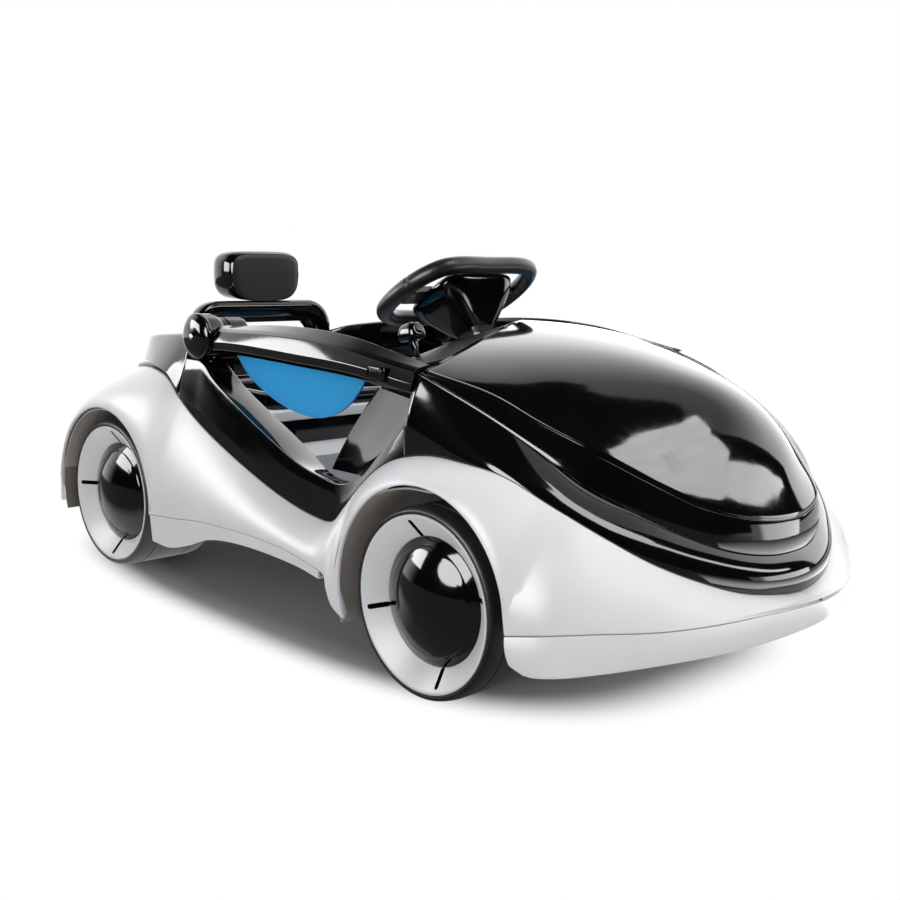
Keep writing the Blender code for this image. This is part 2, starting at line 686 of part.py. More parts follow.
def rear_deck():
    """Black deck that runs round the back of the seat, from hinge to hinge."""
    edge = Rail(DECK_EDGE, mirrored_start=True)
    inner = Rail(DECK_INNER, mirrored_start=True)
    stops = waist_between(-1.0, DECK_JOINT[0] + JOINT_OVERRUN)
    ribs = []
    for waist_share in stops:
        part = waist_share / stops[-1]
        foot = waist_foot(waist_share)
        inside = inner.at(part)
        inward = WAIST.inward(waist_share)
        ledge = foot + inward * DECK_LEDGE * (1 - part) + Vector((0.0, 0.0, DECK_LEDGE))
        ribs.append([foot + inward * FLANGE, foot, ledge, edge.at(part), inside,
                     Vector((inside.x, inside.y, 0.2455))])
    for point in ribs[0]:
        point.y = 0.0
    deck = sheet("rear_deck", ribs, -1, BLACK, PANEL_WALL, mirrored=True)
    return cut(deck, half_space(DECK_JOINT, ahead=True))


def dash_edge(part):
    """A point of the dashboard's front edge, just behind the bonnet's rear edge."""
    edge = hood_point(0.0, part)
    edge.x -= DASH_GAP
    return edge


def dash_lip(width):
    sweep = (width / 0.220) ** 2
    return Vector((0.012 + 0.070 * sweep, width, 0.357 - 0.028 * sweep))


def dash_panel():
    """Dashboard from the bonnet's rear edge over the lip and down to the floor."""
    ribs = []
    for part in HOOD_PARTS:
        edge = dash_edge(part)
        lip = dash_lip(edge.y)
        ribs.append([
            edge, edge.lerp(lip, 0.55) + Vector((0, 0, 0.003)), lip,
            Vector((lip.x + 0.004, lip.y, lip.z - 0.014)), Vector((0.095, lip.y, 0.250)),
            Vector((0.112, lip.y, FLOOR_TOP + SEAM_GAP)),
        ])
    for point in ribs[-1]:
        point.y = 0.0
    return sheet("dash_panel", ribs, -1, SATIN_BLACK, PANEL_WALL, mirrored=True)


def column_frame():
    """Column top, its downward axis, and the direction square to it that points up the wheel's face."""
    tilt = math.radians(COLUMN_TILT_DEG)
    top = Vector((COLUMN_TOP[0], 0.0, COLUMN_TOP[1]))
    down = Vector((math.cos(tilt), 0.0, -math.sin(tilt)))
    face_up = Vector((math.sin(tilt), 0.0, math.cos(tilt)))
    return top, down, face_up


def crank_radius():
    travel = STEER_ARM * math.sin(math.radians(WHEEL_LOCK_DEG))
    return travel / math.sin(math.radians(HAND_LOCK_DEG))


def steering_column():
    """Bent steel rod: shaft, crank and pin in one."""
    top, down, face_up = column_frame()
    reach = (top.z - CRANK_LEVEL_Z) / -down.z
    elbow = top + down * reach
    knee = elbow - face_up * crank_radius()
    foot = knee + down * CRANK_PIN_DROP
    head = top + down * 0.048
    points = [head, elbow, knee, foot]
    curve = bpy.data.curves.new("steering_column", "CURVE")
    curve.dimensions = "3D"
    curve.bevel_depth = COLUMN_RADIUS
    curve.bevel_resolution = 2
    curve.use_fill_caps = True
    spline = curve.splines.new("POLY")
    spline.points.add(len(points) - 1)
    for spot, point in zip(spline.points, points):
        spot.co = (*(point - head), 1.0)
    obj = bpy.data.objects.new("steering_column", curve)
    obj.location = head
    CAR.objects.link(obj)
    obj.data.materials.append(STEEL)
    return obj


def crank_pin_x(level):
    top, down, face_up = column_frame()
    elbow = top + down * ((top.z - CRANK_LEVEL_Z) / -down.z)
    knee = elbow - face_up * crank_radius()
    return knee.x + (knee.z - level) / -down.z * down.x


def wheel_rim_path():
    """Points of the D-shaped hand rim in its own plane: (across, up the face)."""
    corner = [
        (0.000, RIM_TOP), (0.060, RIM_TOP), (0.083, 0.062), (0.099, 0.043), (RIM_HALF_WIDTH, 0.014),
        (RIM_HALF_WIDTH, -0.026), (0.099, -0.049), (0.077, -0.063), (0.045, -RIM_BOTTOM), (0.000, -RIM_BOTTOM),
    ]
    other = [(-u, v) for u, v in corner[-2:0:-1]]
    return corner + other


def steering_rim():
    top, down, face_up = column_frame()
    curve = bpy.data.curves.new("steering_rim", "CURVE")
    curve.dimensions = "3D"
    curve.bevel_depth = RIM_TUBE
    curve.bevel_resolution = 2
    path = wheel_rim_path()
    spline = curve.splines.new("POLY")
    spline.use_cyclic_u = True
    spline.points.add(len(path) - 1)
    for spot, (across, up) in zip(spline.points, path):
        spot.co = (*(Vector((0.0, across, 0.0)) + face_up * up), 1.0)
    obj = bpy.data.objects.new("steering_rim", curve)
    obj.location = top
    CAR.objects.link(obj)
    obj.data.materials.append(SATIN_BLACK)
    return obj


def steering_hub():
    """Deep funnel-shaped boss under the hand rim, with a spoke to each side."""
    top, down, face_up = column_frame()
    sections = [
        (-0.008, 0.044, 0.034, 0.004), (0.003, 0.066, 0.050, 0.004), (0.016, 0.064, 0.047, 0.002),
        (0.044, 0.042, 0.032, 0.000), (0.063, 0.024, 0.020, 0.000),
    ]
    bm = bmesh.new()
    rings = []
    for depth, half_across, half_up, shift in sections:
        ring = []
        for k in range(16):
            angle = math.tau * k / 16
            c, s = math.cos(angle), math.sin(angle)
            across = half_across * math.copysign(abs(c) ** 0.6, c)
            up = half_up * math.copysign(abs(s) ** 0.6, s) + shift
            ring.append(bm.verts.new(down * depth + Vector((0.0, across, 0.0)) + face_up * up))
        rings.append(ring)
    for ring, following in zip(rings, rings[1:]):
        for k in range(16):
            bm.faces.new((ring[k], ring[(k + 1) % 16], following[(k + 1) % 16], following[k]))
    bm.faces.new(rings[0])
    bm.faces.new(rings[-1])
    hub = mesh_object("steering_hub", bm, SATIN_BLACK)
    hub.location = top
    reach = RIM_HALF_WIDTH - RIM_TUBE - RUN_GAP
    spoke_frame = Matrix((face_up, Vector((0, 1, 0)), down)).transposed().to_4x4()
    spoke = box("hub_spokes", (-0.017, -reach, -0.006), (0.013, reach, 0.006), SATIN_BLACK, shown=False)
    spoke.matrix_world = Matrix.Translation(top) @ spoke_frame @ Matrix.Translation((-0.002, 0, 0.001))
    join(hub, spoke)
    for side in (-1, 1):
        seat = button_seat(side)
        cut(hub, cylinder(side_name("button_pocket", side), seat + down * 0.0024, seat - down * 0.020,
                          BUTTON_RADIUS + RUN_GAP, SATIN_BLACK, steps=16, shown=False))
    socket = cylinder("hub_socket", top + down * 0.046, top + down * 0.090, COLUMN_RADIUS + RUN_GAP,
                      STEEL, steps=12, shown=False)
    cut(hub, socket)
    return hub


def button_seat(side):
    """Where a button's base rests, just under the face of the spoke."""
    top, down, face_up = column_frame()
    return top + Vector((0.0, side * 0.080, 0.0)) - face_up * 0.004 + down * (0.001 - 0.006 + BUTTON_SINK)


def sound_button(side):
    """Round button in a pocket of the spoke."""
    _, down, _ = column_frame()
    radius = BUTTON_RADIUS
    profile = [(0.0, 0.0), (radius, 0.0), (radius, 0.0045), (radius - 0.002, 0.006), (0.0, 0.0066)]
    return turned(side_name("sound_button", side), profile, SATIN_BLACK, button_seat(side), -down, steps=16)


def tyre(name, centre, side):
    inner = RIM_RADIUS + SEAT_GAP
    depth = WHEEL_WIDTH
    profile = [
        (inner, 0.002), (0.1035, 0.000), (TYRE_SHOULDER, 0.003), (TYRE_RADIUS, 0.014),
        (TYRE_RADIUS, depth - 0.014), (TYRE_SHOULDER, depth - 0.003), (0.1035, depth), (inner, depth - 0.001),
    ]
    return turned(name, profile, TREAD, wheel_base(centre, side), (0, side, 0))


def wheel_base(centre, side):
    """The wheel's inner face on its axis."""
    return Vector((centre[0], side * (WHEEL_FACE_Y - WHEEL_WIDTH), centre[1]))


def wheel_dish(name, centre, side):
    """White wheel: barrel, conical dish, web and hub tube with the axle bore."""
    face = WHEEL_WIDTH - 0.0005
    dish = face - DISH_DEPTH
    web = dish - 0.012
    bore = AXLE_RADIUS + RUN_GAP
    profile = [
        (bore, HUB_TUBE_START), (HUB_TUBE_RADIUS, HUB_TUBE_START), (HUB_TUBE_RADIUS, web - RIM_WALL),
        (0.078, web - RIM_WALL), (0.096, 0.060), (0.096, 0.006), (RIM_RADIUS, 0.004), (RIM_RADIUS, face),
        (0.0975, face), (DOME_RADIUS + 0.0012, dish), (DOME_RADIUS + 0.0012, web), (bore, web),
    ]
    return turned(name, profile, WHITE, wheel_base(centre, side), (0, side, 0))


def dish_slots(dish, centre, side, first_degrees):
    """Four narrow slots through the conical dish."""
    for k in range(4):
        angle = math.radians(first_degrees + 90 * k)
        radial = Vector((math.cos(angle), 0.0, math.sin(angle)))
        spot = Vector((centre[0], side * (WHEEL_FACE_Y - 0.014), centre[1]))
        cutter = box(dish.name + "_slot_" + str(k), (SLOT_INNER, -0.020, -SLOT_WIDTH / 2),
                     (SLOT_OUTER, 0.020, SLOT_WIDTH / 2), SMOKE, shown=False)
        middle = spot + radial * (SLOT_INNER + SLOT_OUTER) / 2
        cutter.matrix_world = Matrix.Translation(middle) @ Matrix.Rotation(-angle, 4, "Y")
        cut(dish, cutter)


def hub_dome(name, centre, side):
    """Black dome that snaps into the middle of the dish."""
    web = WHEEL_WIDTH - 0.0005 - DISH_DEPTH - 0.012
    base = web + SEAT_GAP
    radius = DOME_RADIUS
    rise = web + 0.012
    profile = [(0.0, rise + DOME_BULGE)]
    for degrees in (78, 62, 46, 30, 14):
        angle = math.radians(degrees)
        profile.append((radius * math.cos(angle), rise + DOME_BULGE * math.sin(angle)))
    profile += [(radius, rise), (radius, base), (radius - 0.003, base), (radius - 0.003, rise - 0.002)]
    for degrees in (30, 62):
        angle = math.radians(degrees)
        profile.append(((radius - 0.003) * math.cos(angle), rise - 0.002 + (DOME_BULGE - 0.003) * math.sin(angle)))
    profile.append((0.0, rise + DOME_BULGE - 0.005))
    return turned(name, profile, BLACK, wheel_base(centre, side), (0, side, 0), steps=DOME_STEPS)


def arch_liner(stem, centre, half_length, half_height, inner_y, span, side):
    """Grey half drum inside a wheel arch. Its outer edge draws in at the front, where the flank narrows."""
    bm = bmesh.new()
    rings = []
    for outer in (False, True):
        for wall in (0.0, LINER_WALL):
            ring = []
            for degrees in span:
                angle = math.radians(degrees)
                y = inner_y
                if outer:
                    y = LINER_OUTER_Y - (LINER_TAPER if degrees < 75 else 0.0)
                ring.append(bm.verts.new((centre[0] + (half_length + wall) * math.cos(angle), side * y,
                                          centre[1] + (half_height + wall) * math.sin(angle))))
            rings.append(ring)
    inner_a, inner_b, outer_a, outer_b = rings[0], rings[1], rings[2], rings[3]
    for first, second in ((inner_a, outer_a), (outer_b, inner_b), (inner_b, inner_a), (outer_a, outer_b)):
        for i in range(len(span) - 1):
            bm.faces.new((first[i], first[i + 1], second[i + 1], second[i]))
    for i in (0, -1):
        bm.faces.new((inner_a[i], inner_b[i], outer_b[i], outer_a[i]))
    return mesh_object(side_name(stem, side), bm, SMOKE)


def tub():
    """White lower tub: floor, seat plinth, battery box and the spine under the bonnet."""
    main = box("tub", (FLOOR_BACK_X, -FLOOR_HALF_WIDTH, FLOOR_BOTTOM),
               (FLOOR_FRONT_X, FLOOR_HALF_WIDTH, FLOOR_TOP), WHITE)
    wide = TUB_HALF_WIDTH
    join(main, box("tub_box", (TUB_BACK_X, -wide, TUB_BOTTOM), (TUB_FRONT_X, wide, DECK_Z), WHITE, shown=False))
    join(main, box("tub_plinth", (TUB_FRONT_X - 0.001, -PLINTH_HALF_WIDTH, FLOOR_BOTTOM + 0.001),
                   (PLINTH_FRONT_X, PLINTH_HALF_WIDTH, DECK_Z), WHITE, shown=False))
    join(main, box("tub_spine", (FLOOR_FRONT_X - 0.010, -SPINE_HALF_WIDTH, FLOOR_BOTTOM),
                   (SPINE_FRONT_X, SPINE_HALF_WIDTH, FLOOR_TOP), WHITE, shown=False))
    join(main, box("tub_tongue", (SPINE_FRONT_X - 0.010, -0.050, FLOOR_BOTTOM),
                   (NOSE_TONGUE_X, 0.050, FLOOR_TOP), WHITE, shown=False))
    wall = TUB_WALL
    cut(main, box("tub_hollow", (TUB_BACK_X + wall, -wide + wall, TUB_BOTTOM + wall),
                  (TUB_FRONT_X - wall, wide - wall, DECK_Z - wall), WHITE, shown=False))
    cut(main, box("tub_hatch", (-0.445, -0.135, DECK_Z - 2 * wall), (-0.262, 0.135, DECK_Z + wall),
                  WHITE, shown=False))
    cut(main, box("plinth_hollow", (TUB_FRONT_X, -PLINTH_HALF_WIDTH + wall, FLOOR_BOTTOM - wall),
                  (PLINTH_FRONT_X - wall, PLINTH_HALF_WIDTH - wall, DECK_Z - wall), WHITE, shown=False))
    cut(main, box("column_slot", (0.158, -0.038, FLOOR_BOTTOM - wall), (0.236, 0.038, FLOOR_TOP + wall),
                  WHITE, shown=False))
    rear_x = FRONT_AXLE_X - WHEELBASE
    cut(main, cylinder("axle_holes", (rear_x, -wide - wall, TYRE_RADIUS), (rear_x, wide + wall, TYRE_RADIUS),
                       AXLE_RADIUS + RUN_GAP, STEEL, steps=16, shown=False))
    for side in (-1, 1):
        name = side_name("motor_hole", side)
        cut(main, cylinder(name, (rear_x - 0.030, side * (wide - 2 * wall), TYRE_RADIUS + 0.018),
                           (rear_x - 0.030, side * (wide + wall), TYRE_RADIUS + 0.018), 0.0175, STEEL, steps=16,
                           shown=False))
    return main


def gearbox(side):
    """Gearbox on the tub's flank, with its motor reaching into the tub."""
    rear_x = FRONT_AXLE_X - WHEELBASE
    inner, outer = TUB_HALF_WIDTH + SEAT_GAP, WHEEL_FACE_Y - WHEEL_WIDTH + HUB_TUBE_START - SEAT_GAP
    low_y, high_y = sorted((side * inner, side * outer))
    body = box(side_name("gearbox", side), (rear_x - 0.052, low_y, TYRE_RADIUS - 0.024),
               (rear_x + 0.028, high_y, TYRE_RADIUS + 0.040), CASE_GREY)
    motor = cylinder(side_name("motor", side), (rear_x - 0.030, side * 0.105, TYRE_RADIUS + 0.018),
                     (rear_x - 0.030, side * (inner + 0.010), TYRE_RADIUS + 0.018), 0.0165, STEEL, steps=16,
                     shown=False)
    join(body, motor)
    bore = cylinder(side_name("gearbox_bore", side), (rear_x, side * (inner - 0.010), TYRE_RADIUS),
                    (rear_x, side * (outer + 0.010), TYRE_RADIUS), AXLE_RADIUS + RUN_GAP, STEEL, steps=16,
                    shown=False)
    return cut(body, bore)


def rear_axle():
    rear_x = FRONT_AXLE_X - WHEELBASE
    reach = WHEEL_FACE_Y - 0.030
    return cylinder("rear_axle", (rear_x, -reach, TYRE_RADIUS), (rear_x, reach, TYRE_RADIUS), AXLE_RADIUS, STEEL,
                    steps=16)


def front_axle_beam():
    """Beam between the kingpins, hung from the spine by a block."""
    x, z = FRONT_AXLE_X, TYRE_RADIUS
    beam = box("front_axle_beam", (x - 0.006, -KINGPIN_Y, z - 0.007), (x + 0.006, KINGPIN_Y, z + 0.007), STEEL)
    join(beam, box("beam_block", (x - 0.020, -0.060, z - 0.004), (x + 0.020, 0.060, FLOOR_BOTTOM - SEAT_GAP), STEEL,
                   shown=False))
    for side in (-1, 1):
        eye = cylinder(side_name("beam_eye", side), (x, side * KINGPIN_Y, z - 0.0090), (x, side * KINGPIN_Y, z + 0.0090),
                       0.0095, STEEL, shown=False)
        join(beam, eye)
    for side in (-1, 1):
        bore = cylinder(side_name("beam_bore", side), (x, side * KINGPIN_Y, z - 0.020),
                        (x, side * KINGPIN_Y, z + 0.020), KINGPIN_RADIUS + RUN_GAP, STEEL, shown=False)
        cut(beam, bore)
    return beam


def knuckle(side):
    """Stub axle, yoke round the beam's eye, kingpin, steering arm and its pin."""
    x, z = FRONT_AXLE_X, TYRE_RADIUS
    kingpin = cylinder(side_name("knuckle", side), (x, side * KINGPIN_Y, ARM_BOTTOM + 0.001),
                       (x, side * KINGPIN_Y, z + 0.0125), KINGPIN_RADIUS, STEEL, steps=16)
    wall = KINGPIN_Y + 0.0115
    face = WHEEL_FACE_Y - WHEEL_WIDTH + HUB_TUBE_START - SEAT_GAP

    def plate(name, low, high):
        ys = sorted((side * low[1], side * high[1]))
        return box(side_name(name, side), (low[0], ys[0], low[2]), (high[0], ys[1], high[2]), STEEL, shown=False)

    join(kingpin, plate("yoke_top", (x - 0.008, KINGPIN_Y - 0.008, z + 0.0095), (x + 0.008, face, z + 0.0135)))
    join(kingpin, plate("yoke_foot", (x - 0.008, KINGPIN_Y - 0.008, ARM_BOTTOM), (x + 0.008, face, ARM_TOP)))
    join(kingpin, plate("yoke_wall", (x - 0.0079, wall, ARM_BOTTOM + 0.001), (x + 0.0079, face - 0.0001, z + 0.0125)))
    join(kingpin, plate("steer_arm", (x - STEER_ARM - 0.006, KINGPIN_Y - 0.006, ARM_BOTTOM + 0.0002),
                        (x, KINGPIN_Y + 0.006, ARM_TOP - 0.0002)))
    stub = cylinder(side_name("stub_axle", side), (x, side * (wall + 0.001), z), (x, side * (WHEEL_FACE_Y - 0.030), z),
                    AXLE_RADIUS, STEEL, steps=16, shown=False)
    join(kingpin, stub)
    pin = cylinder(side_name("arm_pin", side), (x - STEER_ARM, side * KINGPIN_Y, ARM_TOP - 0.001),
                   (x - STEER_ARM, side * KINGPIN_Y, ARM_BOTTOM - TIE_ROD_DEPTH - 0.002), ARM_PIN_RADIUS, STEEL,
                   steps=12, shown=False)
    return join(kingpin, pin)


def tie_rod():
    """Flat bar with a slotted eye for each arm's pin and one for the column's crank."""
    x = FRONT_AXLE_X - STEER_ARM
    top = ARM_BOTTOM - SEAT_GAP
    low = top - TIE_ROD_DEPTH
    reach = KINGPIN_Y + 0.009
    bar = box("tie_rod", (x - TIE_ROD_WIDTH / 2, -reach, low), (x + TIE_ROD_WIDTH / 2, reach, top), STEEL)
    for side in (-1, 1):
        half = ARM_PIN_RADIUS + 0.0005
        y = side * KINGPIN_Y
        cut(bar, box(side_name("arm_slot", side), (x - ARM_PIN_RADIUS - 0.0010, y - half, low - 0.005),
                     (x + ARM_PIN_RADIUS + 0.0035, y + half, top + 0.005), STEEL, shown=False))
    pin_x = crank_pin_x((low + top) / 2)
    plate = box("crank_plate", (pin_x - 0.020, -0.014, low + 0.0001), (pin_x + 0.026, 0.014, top - 0.0001), STEEL,
                shown=False)
    join(bar, plate)
    half = COLUMN_RADIUS + 0.0008
    return cut(bar, box("crank_slot", (pin_x - 0.0105, -half, low - 0.005), (pin_x + 0.0175, half, top + 0.005), STEEL,
                        shown=False))


def seat_parts():
    """Riser, shelf, pan, arch-shaped backrest and headrest."""
    riser = box("seat_riser", (SEAT_BACK_X + 0.004, -RISER_HALF_WIDTH, DECK_Z + SEAT_GAP),
                (SEAT_FRONT_X - 0.003, RISER_HALF_WIDTH, RISER_TOP), BLACK)
    cut(riser, box("riser_hollow", (SEAT_BACK_X + 0.008, -RISER_HALF_WIDTH + 0.004, DECK_Z - 0.010),
                   (SEAT_FRONT_X - 0.007, RISER_HALF_WIDTH - 0.004, RISER_TOP + 0.010), BLACK, shown=False))
    cut(riser, cylinder("charging_inlet", (SEAT_FRONT_X - 0.010, -0.110, 0.2125), (SEAT_FRONT_X, -0.110, 0.2125),
                        0.005, BLACK, steps=16, shown=False))
    shelf = box("seat_shelf", (SEAT_BACK_X, -SHELF_HALF_WIDTH, RISER_TOP + SEAT_GAP),
                (SEAT_FRONT_X, SHELF_HALF_WIDTH, SHELF_TOP), WHITE, bevel=0.004)
    cut(shelf, box("shelf_hatch", (-0.430, -0.120, RISER_TOP - 0.010), (-0.270, 0.120, SHELF_TOP + 0.010),
                   WHITE, shown=False))
    pan = box("seat_pan", (SEAT_BACK_X + 0.003, -0.146, SHELF_TOP + SEAT_GAP), (SEAT_FRONT_X - 0.004, 0.146, PAN_TOP),
              BLACK, bevel=0.007)
    cut(pan, box("pan_dish", (ARCH_FRONT_X + 0.012, -0.120, PAN_TOP - PAN_DISH), (SEAT_FRONT_X - 0.030, 0.120, 0.300),
                 BLACK, bevel=0.006, shown=False))
    backrest_arch()
    rest = box("headrest", (HEADREST_FRONT_X - HEADREST_DEPTH, -HEADREST_HALF_WIDTH, SEAT_ARCH_TOP + SEAT_GAP),
               (HEADREST_FRONT_X, HEADREST_HALF_WIDTH, HEADREST_TOP), SATIN_BLACK)
    round_edges(rest, 0.016, segments=3)


def arch_outline(half, top, radius, foot):
    """Points of an arch from one foot over the top to the other."""
    points = [(-half, foot)]
    for k in range(5):
        angle = math.radians(180 - 22.5 * k)
        points.append((-half + radius + radius * math.cos(angle), top - radius + radius * math.sin(angle)))
    return points + [(-y, z) for y, z in points[::-1]]


def backrest_arch():
    foot = PAN_TOP + SEAT_GAP
    outer = arch_outline(SEAT_ARCH_OUTER, SEAT_ARCH_TOP, 0.045, foot)
    inner = arch_outline(SEAT_ARCH_INNER, SEAT_ARCH_INNER_TOP, 0.028, foot)
    bm = bmesh.new()
    back = ARCH_FRONT_X - ARCH_DEPTH
    rings = [[bm.verts.new((x, y, z)) for y, z in outline] for x in (ARCH_FRONT_X, back) for outline in (outer, inner)]
    front_out, front_in, back_out, back_in = rings
    for first, second in ((front_out, front_in), (back_in, back_out), (back_out, front_out), (front_in, back_in)):
        for i in range(len(outer) - 1):
            bm.faces.new((first[i], first[i + 1], second[i + 1], second[i]))
    for i in (0, -1):
        bm.faces.new((front_out[i], front_in[i], back_in[i], back_out[i]))
    arch = mesh_object("backrest_arch", bm, BLACK)
    round_edges(arch, 0.005)


def battery_and_control():
    floor = TUB_BOTTOM + TUB_WALL + SEAT_GAP
    box("battery", (-0.372, -0.050, floor), (-0.262, 0.050, floor + 0.085), CASE_GREY, bevel=0.003)
    box("control_box", (-0.538, -0.045, floor), (-0.478, 0.045, floor + 0.032), CASE_GREY, bevel=0.002)


def profile_at(points, x):
    for (x0, z0), (x1, z1) in zip(points, points[1:]):
        if x0 <= x <= x1:
            return z0 + (z1 - z0) * (x - x0) / (x1 - x0)
    return points[-1][1]


def door_bar(side):
    """Bar over the door opening, with the hinge eye at its rear end."""
    bm = bmesh.new()
    eye_face = HOUSING_INNER_Y + 0.0435 + RUN_GAP
    stations = [-0.214, -0.2075, -0.2015, -0.180, -0.130, -0.079, -0.017, 0.045, 0.090, 0.124, 0.165, BAR_FRONT_X]
    rings = []
    for x in stations:
        top, bottom = profile_at(BAR_TOP, x), profile_at(BAR_BOTTOM, x)
        inner = BAR_INNER_Y if x > -0.205 else eye_face + SEAT_GAP
        crown = 0.003 + BAR_CROWN * max(0.0, 1 - ((x - 0.0) / 0.19) ** 2)
        section = [
            (inner, bottom + 0.004), (inner + 0.006, bottom), (BAR_OUTER_Y - 0.008, bottom),
            (BAR_OUTER_Y - 0.002, bottom + 0.006), (BAR_OUTER_Y, bottom + 0.016), (BAR_OUTER_Y - 0.006, top - 0.004),
            (BAR_OUTER_Y - 0.013, top), (inner + 0.006, top + crown), (inner, top + crown - 0.005),
        ]
        rings.append([bm.verts.new((x, side * y, z)) for y, z in section])
    count = len(rings[0])
    for ring, following in zip(rings, rings[1:]):
        for k in range(count):
            bm.faces.new((ring[k], ring[(k + 1) % count], following[(k + 1) % count], following[k]))
    bm.faces.new(rings[0])
    bm.faces.new(rings[-1])
    bar = mesh_object(side_name("door_bar", side), bm, BLACK)
    hinge = Vector((HINGE_X, 0.0, HINGE_Z))
    bar.data.transform(Matrix.Translation(-hinge))
    bar.location = hinge
    inner = eye_face
    eye = turned(side_name("door_eye", side),
                 [(0.0, inner), (DOOR_EYE_RADIUS - 0.004, inner), (DOOR_EYE_RADIUS - 0.001, inner + 0.010),
                  (DOOR_EYE_RADIUS - 0.001, inner + 0.024), (DOOR_EYE_RADIUS, inner + 0.026),
                  (DOOR_EYE_RADIUS, inner + 0.032), (0.022, inner + 0.038), (0.0, DOOR_EYE_OUTER_Y)],
                 BLACK, (HINGE_X, 0.0, HINGE_Z), (0, side, 0), steps=28, shown=False)
    join(bar, eye)
    bore = cylinder(side_name("eye_bore", side), (HINGE_X, side * (inner - 0.010), HINGE_Z),
                    (HINGE_X, side * (inner + 0.021), HINGE_Z), HINGE_PIN_RADIUS + RUN_GAP, STEEL, steps=20,
                    shown=False)
    cut(bar, bore)
    low, high = sorted((side * (BAR_OUTER_Y - 0.002 - LATCH_RECESS), side * (BAR_OUTER_Y + 0.010)))
    recess = box(side_name("latch_recess", side), (LATCH_X, low, LATCH_Z),
                 (LATCH_X + LATCH_LENGTH + LATCH_TRAVEL + 2 * SEAM_GAP, high, LATCH_Z + LATCH_HEIGHT), BLACK,
                 shown=False)
    return cut(bar, recess)


def latch_slider(side):
    """Thumb slide that frees the door."""
    floor_y = BAR_OUTER_Y - 0.002 - LATCH_RECESS + SEAT_GAP
    low, high = sorted((side * floor_y, side * (BAR_OUTER_Y + 0.0005)))
    return box(side_name("latch_slider", side), (LATCH_X + SEAM_GAP, low, LATCH_Z + SEAM_GAP),
               (LATCH_X + SEAM_GAP + LATCH_LENGTH, high, LATCH_Z + LATCH_HEIGHT - SEAM_GAP), SATIN_BLACK,
               bevel=0.0012)


def door_window(side):
    """Clear blue window that hangs from the bar's inner face."""
    y = BAR_INNER_Y - SEAT_GAP - WINDOW_THICKNESS / 2
    outline = Rail([(x, 0.0, z) for x, z in WINDOW_OUTLINE])
    top = 0.352
    points = [outline.at(part) for part in shares(0.0, 1.0, 14)]
    points = [Vector((points[0].x - 0.006, 0.0, top)), *points, Vector((points[-1].x + 0.006, 0.0, top))]
    curve = bpy.data.curves.new(side_name("door_window", side), "CURVE")
    curve.dimensions = "2D"
    curve.fill_mode = "BOTH"
    curve.extrude = WINDOW_THICKNESS / 2
    spline = curve.splines.new("POLY")
    spline.use_cyclic_u = True
    spline.points.add(len(points) - 1)
    for spot, point in zip(spline.points, points):
        spot.co = (point.x - HINGE_X, point.z - HINGE_Z, 0.0, 1.0)
    obj = bpy.data.objects.new(side_name("door_window", side), curve)
    obj.location = (HINGE_X, side * y, HINGE_Z)
    obj.rotation_euler = (math.radians(90), 0.0, 0.0)
    CAR.objects.link(obj)
    obj.data.materials.append(BLUE)
    return obj


def hinge_housing(side):
    """Fixed barrel that stands on the sill and carries the door's pin."""
    outer = HOUSING_INNER_Y + 0.0435
    barrel = turned(side_name("hinge_housing", side),
                    [(0.0, HOUSING_INNER_Y), (0.021, HOUSING_INNER_Y), (HOUSING_RADIUS, HOUSING_INNER_Y + 0.004),
                     (HOUSING_RADIUS, outer - 0.012), (0.023, outer - 0.011), (0.023, outer - 0.008),
                     (HOUSING_RADIUS, outer - 0.007), (HOUSING_RADIUS, outer), (HINGE_PIN_RADIUS, outer),
                     (HINGE_PIN_RADIUS, outer + 0.020), (0.0, outer + 0.020)],
                    BLACK, (HINGE_X, 0.0, HINGE_Z), (0, side, 0), steps=28)
    low, high = sorted((side * 0.200, side * (outer - 0.001)))
    foot = box(side_name("housing_foot", side), (-0.256, low, SILL_TOP_Z + SEAT_GAP), (-0.2365, high, HINGE_Z - 0.010), BLACK,
               shown=False)
    return join(barrel, foot)


def accelerator_pedal():
    """Foot plate hinged at its heel."""
    heel = Vector((0.030, -0.095, FLOOR_TOP + SEAT_GAP + 0.005))
    plate = cylinder("accelerator_pedal", heel + Vector((0, -0.024, 0)), heel + Vector((0, 0.024, 0)), 0.005,
                     SATIN_BLACK, steps=14)
    tread = box("pedal_tread", (0.0, -0.024, -0.0025), (0.062, 0.024, 0.0025), SATIN_BLACK, shown=False)
    tread.matrix_world = (Matrix.Translation(heel) @ Matrix.Rotation(math.radians(-30), 4, "Y")
                          @ Matrix.Translation((0.031, 0, 0)))
    return join(plate, tread)


def dash_top(y, along):
    """A point on the dashboard's top and the tilt of the face there."""
    edge = dash_edge(1 - abs(y) / HOOD_EDGE[0][1])
    lip = dash_lip(abs(y))
    middle = edge.lerp(lip, along)
    return Vector((middle.x, y, middle.z + 0.002)), -math.atan2(edge.z - lip.z, edge.x - lip.x)


